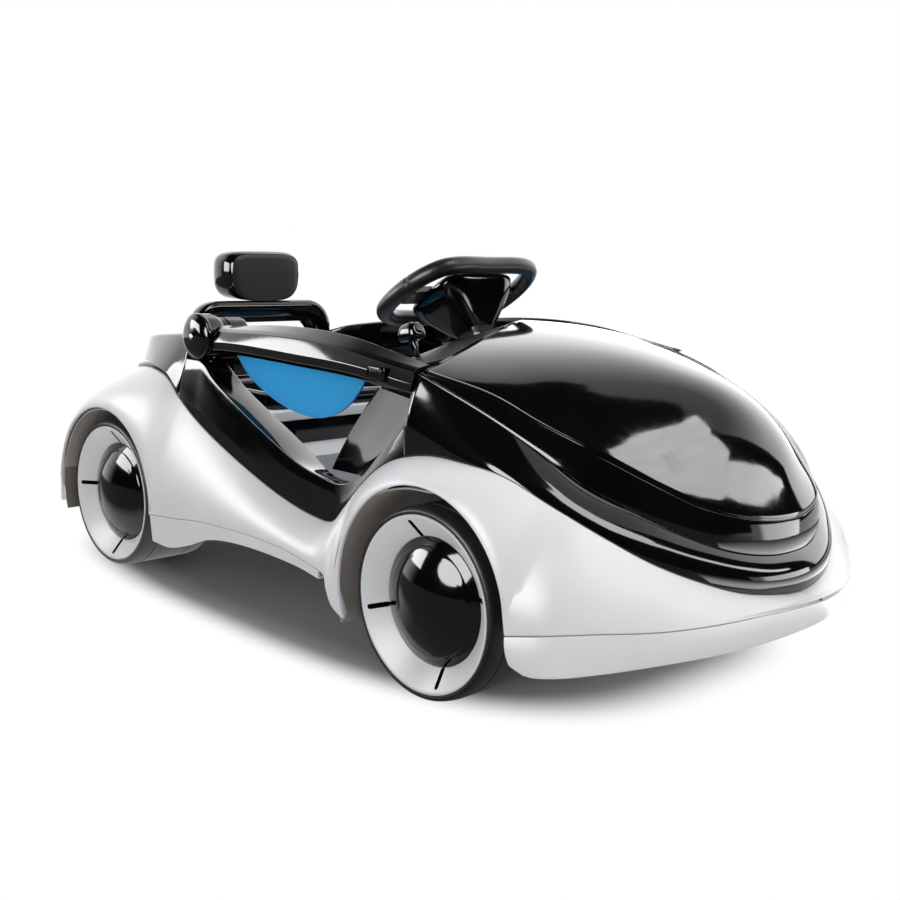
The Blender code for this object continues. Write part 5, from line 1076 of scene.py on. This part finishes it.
# ---- Hand wheel rim ----
# A D-shaped rim of moulded plastic tube, 23 mm thick, satin with a fine grain. It is made of an upper
# and a lower half, so a parting line runs round it, and a ring seam shows at each side.
# A fine spark grain breaks each highlight into a soft sheen
GRIP = moulded_plastic("grained_black_grip_plastic", "151517", "0E0E10", 0.36, 0.07, 0.8, 0.022, ior=1.48)
RIM_TUBE = 0.0115
RIM_HALF_WIDTH = 0.109
RIM_STEPS = 40
PARTING_AT = (8, 28)
PARTING_DEPTH = 0.0005
RING_SEAM_AT = 0.022
RING_SEAM_DEPTH = 0.0007
corner = [(0.000, 0.0691), (0.060, 0.0691), (0.083, 0.0615), (0.099, 0.043), (RIM_HALF_WIDTH, 0.014),
          (RIM_HALF_WIDTH, -0.026), (0.099, -0.049), (0.077, -0.063), (0.045, -0.068), (0.000, -0.068)]
outline = corner + [(-u, v) for u, v in corner[-2:0:-1]]
knots = [Vector((u, v, 0.0)) for u, v in outline]
count = len(knots)
line = []
for i in range(count):
    a, b, c, d = (knots[(i + k) % count] for k in (-1, 0, 1, 2))
    line += [catmull(a, b, c, d, t / 14) for t in range(14)]
smooth = []
for i in range(len(line)):
    window = [line[(i + k) % len(line)] for k in range(-3, 4)]
    smooth.append(sum(window, Vector()) / len(window))
rings = []
for i, spot in enumerate(smooth):
    ahead = (smooth[(i + 1) % len(smooth)] - smooth[i - 1]).normalized()
    aside = Vector((ahead.y, -ahead.x, 0.0))
    at_seam = abs(spot.y - RING_SEAM_AT) < 0.0009 and abs(spot.x) > 0.08
    radius = RIM_TUBE - (RING_SEAM_DEPTH if at_seam else 0.0)
    ring = []
    for k in range(RIM_STEPS):
        angle = math.tau * k / RIM_STEPS
        reach = radius - (PARTING_DEPTH if k in PARTING_AT else 0.0)
        flat = spot + aside * reach * math.cos(angle)
        ring.append(COLUMN_TOP + Vector((0.0, flat.x, 0.0)) + face_up * flat.y - down * reach * math.sin(angle))
    rings.append(ring)
bm = bmesh.new()
grid = [[bm.verts.new(point) for point in ring] for ring in rings]
for i, ring in enumerate(grid):
    following = grid[(i + 1) % len(grid)]
    for k in range(RIM_STEPS):
        j = (k + 1) % RIM_STEPS
        bm.faces.new((ring[k], ring[j], following[j], following[k]))
bmesh.ops.recalc_face_normals(bm, faces=bm.faces)
piece("hand_wheel_rim", bm, GRIP, "steering", ["steering_rim"], edge=0.0, sharp=60)

# ---- Hand wheel boss ----
# A deep four-sided funnel under the rim holds the horn, and a flat spoke reaches to each side with a
# round pocket for a button. One glossy black moulding.
sections = between([
    (-0.0080, 0.044, 0.034, 0.004), (0.0030, 0.066, 0.050, 0.004), (0.0160, 0.064, 0.047, 0.002),
    (0.0440, 0.042, 0.032, 0.000), (0.0630, 0.024, 0.020, 0.000)], 5)
rings = []
for depth, half_across, half_up, shift in sections:
    rings.append([COLUMN_TOP + down * depth + Vector((0.0, half_across * u, 0.0)) + face_up * (half_up * v + shift)
                  for u, v in oval(0.45, 80)])
bm = lofted(rings)
spoke_frame = Matrix.Translation(COLUMN_TOP) @ Matrix((face_up, Vector((0, 1, 0)), down)).transposed().to_4x4()
reach = RIM_HALF_WIDTH - RIM_TUBE - 0.0003
pockets = []
for side, word in SIDES:
    ends = sorted((side * 0.050, side * reach))
    rounded_block((-0.019, ends[0], -0.005), (0.011, ends[1], 0.007), 0.0025, 3, spoke_frame, bm)
    seat = COLUMN_TOP + Vector((0.0, side * 0.080, 0.0)) - face_up * 0.004 + down * (0.001 - 0.006 + 0.0016)
    pockets.append(turned([(0.0, -0.0024), (0.0083, -0.0024), (0.0083, 0.020), (0.0, 0.020)], seat, -down, steps=40))
    profile = drawn([(0.0, 0.0), (0.008, 0.0), (0.008, 0.0066), (0.004, 0.0070), (0.0, 0.0066)], {2: 0.0016}, 5)
    piece("horn_button_" + word, turned(profile, seat, -down, steps=48), SATIN,
          "button_" + word, ["sound_button_" + word], edge=0.0)
pockets.append(turned([(0.0, 0.046), (COLUMN_RADIUS + 0.0005, 0.046), (COLUMN_RADIUS + 0.0005, 0.090), (0.0, 0.090)],
                      COLUMN_TOP, down, steps=32))
piece("hand_wheel_boss", bm, BLACK, "steering", ["steering_hub"], edge=0.0006,
      cutters=pockets)

# ---- Wheels ----
# Four equal wheels: a blow-moulded black plastic tyre without a pattern, a white dished wheel with
# four narrow slots, and a glossy black dome that snaps into the middle.
TYRE_RADIUS = 0.109
RIM_RADIUS = 0.100
WHEEL_WIDTH = 0.120
WHEEL_FACE_Y = 0.300
DOME_RADIUS = 0.072
DOME_BULGE = 0.026
AXLES = (("front", 0.255, -74.0), ("rear", -0.421, -90.0))


def tyre_plastic():
    """Blow-moulded polyethylene: dull black with fine turned lines round the tread, worn slightly grey."""
    finish, tree, output = blank("black_blow_moulded_tyre")
    place = add(tree, "TexCoord").outputs["Object"]
    scuff = add(tree, "TexNoise", {"Vector": place, "Scale": 1000.0 / 14.0, "Detail": 6.0, "Roughness": 0.7})
    tone = toned(tree, scuff.outputs["Fac"], "0B0B0C", "1B1B1C", 0.35, 0.80)
    grain = add(tree, "TexNoise", {"Vector": place, "Scale": 1000.0 / 0.9, "Detail": 2.0})
    lines = add(tree, "TexWave", {"Vector": place, "Scale": 1000.0 / 6.0 / math.tau * 2, "Distortion": 0.0},
                bands_direction="Y", wave_profile="SIN")
    height = add(tree, "Math", {0: grain.outputs["Fac"], 1: lines.outputs["Fac"]}, operation="ADD")
    relief = add(tree, "Bump", {"Height": height.outputs[0], "Strength": 1.0, "Distance": 0.000015})
    gloss = add(tree, "MapRange", {"Value": scuff.outputs["Fac"], "To Min": 0.36, "To Max": 0.56})
    shader = add(tree, "BsdfPrincipled", {"Base Color": tone, "Roughness": gloss.outputs["Result"],
                                          "Normal": relief.outputs["Normal"], "IOR": 1.51})
    tree.links.new(shader.outputs[0], output.inputs["Surface"])
    return finish


TYRE = tyre_plastic()
face = WHEEL_WIDTH - 0.0005
dish = face - 0.020
web = dish - 0.012
inner = RIM_RADIUS + 0.0003
tyre_profile = drawn([
    (inner, 0.002), (0.1035, 0.000), (0.107, 0.003), (0.109, 0.014), (0.109, 0.028), (0.1082, 0.0285),
    (0.1082, 0.0305), (0.109, 0.031), (0.109, 0.094), (0.1082, 0.0945), (0.1082, 0.0965), (0.109, 0.097),
    (0.109, WHEEL_WIDTH - 0.014), (0.107, WHEEL_WIDTH - 0.003), (0.1035, WHEEL_WIDTH), (inner, WHEEL_WIDTH - 0.001),
], {1: 0.002, 2: 0.003, 3: 0.004, 12: 0.004, 13: 0.003, 14: 0.002})
wheel_profile = drawn([
    (0.0063, 0.0428), (0.014, 0.0428), (0.014, web - 0.003), (0.078, web - 0.003), (0.096, 0.060), (0.096, 0.006),
    (RIM_RADIUS, 0.004), (RIM_RADIUS, face), (0.0975, face), (DOME_RADIUS + 0.0012, dish),
    (DOME_RADIUS + 0.0012, web), (0.0063, web),
], {2: 0.003, 3: 0.004, 4: 0.004, 7: 0.0006, 8: 0.0012, 9: 0.0015})
rise = web + 0.012
cap = (DOME_RADIUS ** 2 + DOME_BULGE ** 2) / (2 * DOME_BULGE)
spread = math.asin(DOME_RADIUS / cap)
dome_profile = [(cap * math.sin(spread * k / 24), rise + DOME_BULGE - cap + cap * math.cos(spread * k / 24))
                for k in range(24)]
dome_profile += [(DOME_RADIUS, rise), (DOME_RADIUS, rise - 0.004), (DOME_RADIUS, web + 0.0003),
                 (DOME_RADIUS - 0.003, web + 0.0003), (DOME_RADIUS - 0.003, rise - 0.002)]
dome_profile += [((DOME_RADIUS - 0.003) * math.cos(a), rise - 0.002 + (DOME_BULGE - 0.003) * math.sin(a))
                 for a in (math.radians(15 * k) for k in range(1, 6))]
dome_profile.append((0.0, rise + DOME_BULGE - 0.005))
for end, axle_x, first in AXLES:
    for side, word in SIDES:
        base = Vector((axle_x, side * (WHEEL_FACE_Y - WHEEL_WIDTH), TYRE_RADIUS))
        body = end + "_wheel_" + word
        piece(end + "_tyre_ring_" + word, turned(tyre_profile, base, (0, side, 0), 128, closed=True), TYRE,
              body, [end + "_tyre_" + word], edge=0.0)
        slots = []
        for k in range(4):
            angle = math.radians(first + 90 * k)
            radial = Vector((math.cos(angle), 0.0, math.sin(angle)))
            middle = Vector((axle_x, side * (WHEEL_FACE_Y - 0.014), TYRE_RADIUS)) + radial * 0.0835
            turn = Matrix.Translation(middle) @ Matrix.Rotation(-angle, 4, "Y")
            slot = rounded_block((-0.0105, -0.020, -0.0030), (0.0105, 0.020, 0.0030), 0.0024, 3, turn)
            for wall in slot.faces:
                wall.material_index = 1
            slots.append(slot)
        piece(end + "_dished_wheel_" + word, turned(wheel_profile, base, (0, side, 0), 128, closed=True),
              [WHITE, SATIN], body, [body], edge=0.0, cutters=slots)
        piece(end + "_black_dome_" + word, turned(dome_profile, base, (0, side, 0), 96), BLACK,
              body, [end + "_hub_dome_" + word], edge=0.0)

# ---- Arch liners ----
# A smoky grey polypropylene half drum, 2 mm thick, lines each wheel arch. The rear one ends in a
# darker splash flap below a stepped seam.
# Smoky grey, faintly brown, with a silky shine and cloudy flow marks; the flap is a darker batch of it
LINER = moulded_plastic("smoky_grey_polypropylene", "BDB5AF", "ACA49E", 0.36, 0.03, 3.0, 0.004, sheen_mm=45.0)
FLAP = moulded_plastic("dark_grey_polypropylene_flap", "868079", "767069", 0.38, 0.03, 3.0, 0.004, sheen_mm=45.0)


DRUM_OUTER_Y = 0.3095
DRUM_DRAW_IN = 0.028
DRUM_WALL = 0.002
FLAP_SEAM = 0.0006


def drum(centre, half_length, half_height, inner_y, start, end, side, flap):
    """A half drum from one angle down to another. Its wall is darker above the angle of the flap's seam."""
    bm = bmesh.new()
    count = 84
    grid = []
    for k in range(count + 1):
        degrees = start + (end - start) * k / count
        angle = math.radians(degrees)
        taper = min(max((90.0 - degrees) / 20.0, 0.0), 1.0)
        outer = DRUM_OUTER_Y - DRUM_DRAW_IN * taper * taper * (3 - 2 * taper)
        step = FLAP_SEAM if abs(degrees - flap) < 0.9 else 0.0
        row = []
        for grown, ys in ((step, shares(inner_y, outer, 6)), (DRUM_WALL, shares(outer, inner_y, 6))):
            row += [bm.verts.new((centre[0] + (half_length + grown) * math.cos(angle), side * y,
                                  centre[1] + (half_height + grown) * math.sin(angle))) for y in ys]
        grid.append((degrees, row))
    for (degrees, row), (_, following) in zip(grid, grid[1:]):
        for i in range(len(row)):
            j = (i + 1) % len(row)
            face = bm.faces.new((row[i], row[j], following[j], following[i]))
            face.material_index = 1 if degrees > flap else 0
    for _, row in (grid[0], grid[-1]):
        half = len(row) // 2
        for i in range(half - 1):
            bm.faces.new((row[i], row[i + 1], row[-2 - i], row[-1 - i]))
    bmesh.ops.recalc_face_normals(bm, faces=bm.faces)
    return bm


for side, word in SIDES:
    piece("front_arch_drum_" + word, drum(FRONT_ARCH, 0.141, 0.1245, 0.1355, 206, 206 - 15.2 * 14, side, 400.0),
          [LINER, FLAP], "car", ["front_arch_liner_" + word], edge=0.0)
    piece("rear_arch_drum_" + word, drum(REAR_ARCH, 0.1262, 0.1262, 0.1653, 200, 200 - 14.7 * 14, side, 173.0),
          [LINER, FLAP], "car", ["rear_arch_liner_" + word], edge=0.0)

# ---- Doors ----
# A black bar spans the door opening and lifts about the hinge behind it. It is a hollow moulding
# with a flat top, a sloping outer facet and a round eye with one screw in a sunk seat.
HINGE_X, HINGE_Z = -0.234, 0.3585
HOUSING_INNER_Y = 0.196
BAR_INNER_Y, BAR_OUTER_Y = 0.232, 0.267
BAR_TOP = Rail([
    (-0.214, 0, 0.3725), (-0.187, 0, 0.3725), (-0.100, 0, 0.3765), (-0.017, 0, 0.3775),
    (0.060, 0, 0.3745), (0.124, 0, 0.3675), (0.165, 0, 0.3630), (0.192, 0, 0.3605),
])
BAR_FOOT = Rail([
    (-0.214, 0, 0.3370), (-0.157, 0, 0.3400), (-0.079, 0, 0.3400), (-0.016, 0, 0.3390),
    (0.062, 0, 0.3380), (0.116, 0, 0.3350), (0.165, 0, 0.3292), (0.192, 0, 0.3270),
])
LATCH_X, LATCH_Z = 0.1180, 0.3400
LATCH_LENGTH, LATCH_HEIGHT, LATCH_TRAVEL, LATCH_RECESS = 0.028, 0.016, 0.008, 0.006

# Bright zinc: a bluish grey metal with small cloudy crystals 3 mm wide and a broken shine
STEEL, tree, output = blank("zinc_plated_steel")
place = add(tree, "TexCoord").outputs["Object"]
spangle = add(tree, "TexVoronoi", {"Vector": place, "Scale": 1000.0 / 3.0})
tone = toned(tree, spangle.outputs["Distance"], "B9BCC0", "D2D4D8")
gloss = add(tree, "MapRange", {"Value": spangle.outputs["Distance"], "To Min": 0.28, "To Max": 0.46})
scratch = add(tree, "TexNoise", {"Vector": place, "Scale": 1000.0 / 1.2, "Detail": 4.0})
relief = add(tree, "Bump", {"Height": scratch.outputs["Fac"], "Strength": 1.0, "Distance": 0.00001})
shader = add(tree, "BsdfPrincipled", {"Base Color": tone, "Metallic": 1.0,
                                      "Roughness": gloss.outputs["Result"], "Normal": relief.outputs["Normal"]})
tree.links.new(shader.outputs[0], output.inputs["Surface"])

eye_face = HOUSING_INNER_Y + 0.0438
for side, word in SIDES:
    rings = []
    for x in [-0.214, -0.2105, -0.2075, -0.2045, -0.2015, *shares(-0.196, 0.192, 60)]:
        top = BAR_TOP.at(BAR_TOP.share_at_x(x)).z
        foot = BAR_FOOT.at(BAR_FOOT.share_at_x(x)).z
        drawn_in = min(max((-0.2015 - x) / 0.006, 0.0), 1.0)
        inner = BAR_INNER_Y + (eye_face + 0.0003 - BAR_INNER_Y) * drawn_in
        crown = 0.003 + 0.006 * max(0.0, 1 - (x / 0.19) ** 2)
        section = [
            (inner, foot + 0.004), (inner + 0.006, foot), (BAR_OUTER_Y - 0.008, foot),
            (BAR_OUTER_Y - 0.002, foot + 0.006), (BAR_OUTER_Y, foot + 0.016), (BAR_OUTER_Y - 0.006, top - 0.004),
            (BAR_OUTER_Y - 0.013, top), (inner + 0.006, top + crown), (inner, top + crown - 0.005)]
        ring = []
        count = len(section)
        for i in range(count):
            before, at, after = (Vector((0.0, *section[(i + k) % count])) for k in (-1, 0, 1))
            for t in (0.0, 0.5, 1.0):
                start = at + (before - at).normalized() * 0.0012
                end = at + (after - at).normalized() * 0.0012
                point = start * (1 - t) ** 2 + at * 2 * t * (1 - t) + end * t ** 2
                ring.append(Vector((x, side * point.y, point.z)))
        rings.append(ring)
    bm = lofted(rings)
    eye = drawn([(0.0103, eye_face), (0.0275, eye_face), (0.0305, eye_face + 0.010), (0.0305, eye_face + 0.024),
                 (0.0315, eye_face + 0.026), (0.0315, eye_face + 0.032), (0.022, eye_face + 0.038),
                 (0.0048, 0.2795), (0.0046, 0.2780), (0.0, 0.2780)], {1: 0.002, 4: 0.0008, 5: 0.003, 6: 0.006}, 4)
    turned([(0.0103, eye_face + 0.021), *eye], (HINGE_X, 0.0, HINGE_Z), (0, side, 0), 96, bm)
    ys = sorted((side * (BAR_OUTER_Y - 0.002 - LATCH_RECESS), side * (BAR_OUTER_Y + 0.010)))
    recess_end = LATCH_X + LATCH_LENGTH + LATCH_TRAVEL + 2 * SEAM_GAP
    recess = rounded_block((LATCH_X, ys[0], LATCH_Z), (recess_end, ys[1], LATCH_Z + LATCH_HEIGHT), 0.0008, 2)
    piece("lift_bar_" + word, bm, BLACK, "door_" + word, ["door_bar_" + word], edge=0.0004,
          cutters=[recess])
    screw = drawn([(0.0, 0.2781), (0.0040, 0.2781), (0.0040, 0.2790), (0.0026, 0.2797), (0.0, 0.2799)],
                  {2: 0.0006, 3: 0.0005}, 4)
    ys = sorted((side * 0.2788, side * 0.2820))
    cross = [rounded_block((HINGE_X - wide, ys[0], HINGE_Z - tall), (HINGE_X + wide, ys[1], HINGE_Z + tall), 0.0)
             for wide, tall in ((0.0022, 0.0004), (0.0004, 0.0022))]
    piece("eye_screw_" + word, turned(screw, (HINGE_X, 0.0, HINGE_Z), (0, side, 0), 40), STEEL,
          "door_" + word, edge=0.0, cutters=cross)

# ---- Door windows ----
# A 3 mm blue acrylic sheet with a curved lower edge is welded to the bar's inner face. A narrow border
# and the cut edge are painted a deeper blue, which stands in for the light that runs further through them.
WINDOW = Rail([
    (-0.198, 0.0, 0.340), (-0.166, 0.0, 0.311), (-0.120, 0.0, 0.2895), (-0.076, 0.0, 0.277), (-0.030, 0.0, 0.2725),
    (-0.004, 0.0, 0.2748), (0.036, 0.0, 0.291), (0.063, 0.0, 0.315), (0.080, 0.0, 0.340),
])


def clear_acrylic(name, colour, roughness, transmission):
    """Clear tinted acrylic: light passes and takes the tint, and a sharp faint mirror lies on top."""
    finish, tree, output = blank(name)
    place = add(tree, "TexCoord").outputs["Object"]
    wave = add(tree, "TexNoise", {"Vector": place, "Scale": 1000.0 / 30.0, "Detail": 1.0})
    smear = add(tree, "TexNoise", {"Vector": place, "Scale": 1000.0 / 11.0, "Detail": 4.0})
    gloss = add(tree, "MapRange", {"Value": smear.outputs["Fac"], "From Min": 0.3, "From Max": 0.7,
                                   "To Min": roughness, "To Max": roughness + 0.03})
    relief = add(tree, "Bump", {"Height": wave.outputs["Fac"], "Strength": 1.0, "Distance": 0.00004})
    shader = add(tree, "BsdfPrincipled", {"Base Color": tinted(colour), "Roughness": gloss.outputs["Result"],
                                          "Normal": relief.outputs["Normal"], "IOR": 1.49,
                                          "Transmission Weight": transmission})
    # The sheet also scatters the light that falls on its far side
    through = add(tree, "BsdfTranslucent", {"Color": tinted(colour), "Normal": relief.outputs["Normal"]})
    both = add(tree, "MixShader", {0: 0.40, 1: shader.outputs[0], 2: through.outputs[0]})
    tree.links.new(both.outputs[0], output.inputs["Surface"])
    return finish


BLUE = clear_acrylic("blue_clear_acrylic", "58D2FF", 0.05, 0.18)
# Deeper blue painted on the border and the cut edge, standing in for light that runs further through them
PAINTED_DEEP_BLUE_EDGE = clear_acrylic("blue_acrylic_painted_deep_edge", "0A5FB4", 0.12, 0.15)
PANE_HALF = 0.0015
PANE_BORDER = 0.0022
pane_y = BAR_INNER_Y - 0.0003 - PANE_HALF
for side, word in SIDES:
    line = [WINDOW.at(part) for part in shares(0.0, 1.0, 90)]
    line = [Vector((line[0].x - 0.006, 0.0, 0.352)), *line, Vector((line[-1].x + 0.006, 0.0, 0.352))]
    bm = bmesh.new()
    near = [bm.verts.new((p.x, side * (pane_y - PANE_HALF), p.z)) for p in line]
    far = [bm.verts.new((p.x, side * (pane_y + PANE_HALF), p.z)) for p in line]
    bm.faces.new(near)
    bm.faces.new(far[::-1])
    for i in range(len(line)):
        j = (i + 1) % len(line)
        face = bm.faces.new((near[i], far[i], far[j], near[j]))
        face.material_index = 1 if 0 < i < len(line) - 2 else 0
    broad = [f for f in bm.faces if len(f.verts) > 4]
    # The border is painted a deeper blue, standing in for light that runs further through the sheet
    for border in bmesh.ops.inset_individual(bm, faces=broad, thickness=PANE_BORDER)["faces"]:
        border.material_index = 1
    bmesh.ops.recalc_face_normals(bm, faces=bm.faces)
    piece("blue_pane_" + word, bm, [BLUE, PAINTED_DEEP_BLUE_EDGE], "door_" + word,
          ["door_window_" + word], edge=0.0, sharp=30)

# ---- Hinge barrels ----
# A fixed barrel on a short foot stands on each sill and holds the door's 20 mm pin. It is one glossy
# black ABS moulding with a shallow groove near its open end.
for side, word in SIDES:
    outer = HOUSING_INNER_Y + 0.0435
    profile = drawn([
        (0.0, HOUSING_INNER_Y), (0.021, HOUSING_INNER_Y), (0.025, HOUSING_INNER_Y + 0.004), (0.025, outer - 0.012),
        (0.0235, outer - 0.0112), (0.0235, outer - 0.0088), (0.025, outer - 0.008), (0.025, outer), (0.010, outer),
        (0.010, outer + 0.020), (0.0, outer + 0.020)], {1: 0.002, 2: 0.003, 7: 0.0012, 9: 0.001}, 4)
    bm = turned(profile, (HINGE_X, 0.0, HINGE_Z), (0, side, 0), 96)
    ys = sorted((side * 0.200, side * (outer - 0.001)))
    rounded_block((-0.256, ys[0], 0.3258), (-0.2365, ys[1], HINGE_Z - 0.010), 0.0015, 3, bm=bm)
    piece("hinge_barrel_" + word, bm, BLACK, "car", ["hinge_housing_" + word], edge=0.0)

# ---- Door latches ----
# A thumb slide with five low grip ribs runs in a recess near the front end of each bar. It is a small
# black ABS moulding and moves 8 mm forward to free the bar.
for side, word in SIDES:
    floor_y = BAR_OUTER_Y - 0.002 - LATCH_RECESS + 0.0003
    ys = sorted((side * floor_y, side * (BAR_OUTER_Y - 0.0016)))
    low_x, high_x = LATCH_X + SEAM_GAP, LATCH_X + SEAM_GAP + LATCH_LENGTH
    low_z, high_z = LATCH_Z + SEAM_GAP, LATCH_Z + LATCH_HEIGHT - SEAM_GAP
    bm = rounded_block((low_x, ys[0], low_z), (high_x, ys[1], high_z), 0.0010, 3)
    for k in range(5):
        middle = low_x + LATCH_LENGTH * (0.20 + 0.15 * k)
        rib = sorted((side * (BAR_OUTER_Y - 0.0030), side * (BAR_OUTER_Y - 0.0008)))
        rounded_block((middle - 0.0011, rib[0], low_z + 0.0022), (middle + 0.0011, rib[1], high_z - 0.0022),
                      0.0007, 3, bm=bm)
    piece("thumb_slide_" + word, bm, BLACK, "latch_" + word,
          ["latch_slider_" + word], edge=0.0)

# ---- Direction knob, power rocker and pedal ----
# Small black mouldings: a glossy rounded selector on the dashboard's right, a satin rocker switch on
# its left, and a satin foot pedal with a ribbed tread on the floor.
pivot = knob_frame @ Vector((0.0, 0.0, -0.012))
bm = turned([(0.0, -0.0045), (0.005, -0.0045), (0.005, 0.0045), (0.0, 0.0045)], pivot, (0, 1, 0), 32)
rounded_block((-0.0035, -0.0045, 0.001), (0.0035, 0.0045, 0.027), 0.0005, 2, knob_frame, bm)
rings = []
for rise, scale, power in ((0.0220, 0.80, 0.55), (0.0226, 0.90, 0.52), (0.0245, 0.98, 0.50), (0.0285, 1.00, 0.50),
                           (0.0350, 0.96, 0.52), (0.0395, 0.86, 0.56), (0.0425, 0.68, 0.62), (0.0437, 0.45, 0.70),
                           (0.0440, 0.20, 0.80)):
    ring = rounded_ring(0.016 * scale, 0.013 * scale, (0, 0, rise), power, 56)
    rings.append([knob_frame @ point for point in ring])
lofted(rings, bm)
piece("selector_knob", bm, BLACK, "direction", ["direction_knob"], edge=0.0)

rings = []
for rise, inset in ((-0.0035, 0.0), (0.0030, 0.0), (0.0040, 0.0004), (0.0045, 0.0014)):
    ring = rounded_ring(0.0125 - inset, 0.0080 - inset, (0, 0, rise), 0.25, 48)
    rings.append([rocker_frame @ Vector((p.x, p.y, p.z - 0.0006 * math.cos(p.x / 0.0125 * math.pi))) for p in ring])
piece("rocker_switch", lofted(rings), SATIN, "power", ["power_switch"], edge=0.0)

heel = Vector((0.030, -0.095, FLOOR_TOP + 0.0053))
bm = turned([(0.0, -0.024), (0.005, -0.024), (0.005, 0.024), (0.0, 0.024)], heel, (0, 1, 0), 40)
tread = Matrix.Translation(heel) @ Matrix.Rotation(math.radians(-30), 4, "Y")
rounded_block((0.0, -0.024, -0.0025), (0.062, 0.024, 0.0018), 0.0015, 3, tread, bm)
for k in range(7):
    rounded_block((0.012 + 0.007 * k, -0.020, 0.0012), (0.015 + 0.007 * k, 0.020, 0.0026), 0.0006, 2, tread, bm)
piece("foot_pedal", bm, SATIN, "accelerator", ["accelerator_pedal"], edge=0.0)

# ---- Axles and steering gear ----
# Mild steel rod and strip, cut, bent and welded, then zinc-plated like the screws. The axles lie under
# the tub, and the column's crank, the tie rod and the knuckles steer the front wheels.
for node in ("rear_axle", "front_axle_beam", "knuckle_right", "knuckle_left", "tie_rod", "steering_column"):
    refinish(node, STEEL, edge=0.0004)

# ---- Battery, control box and gearboxes ----
# Closed two-part boxes of mid grey ABS, moulded with a fine spark grain and screwed into and under the
# tub. They are out of sight, and their dull grain shows only from below.
CASE = moulded_plastic("grey_grained_abs_case", "58585B", "4E4E52", 0.48, 0.06, 0.8, 0.020)
for node in ("battery", "control_box", "gearbox_right", "gearbox_left"):
    refinish(node, CASE, edge=0.0010)
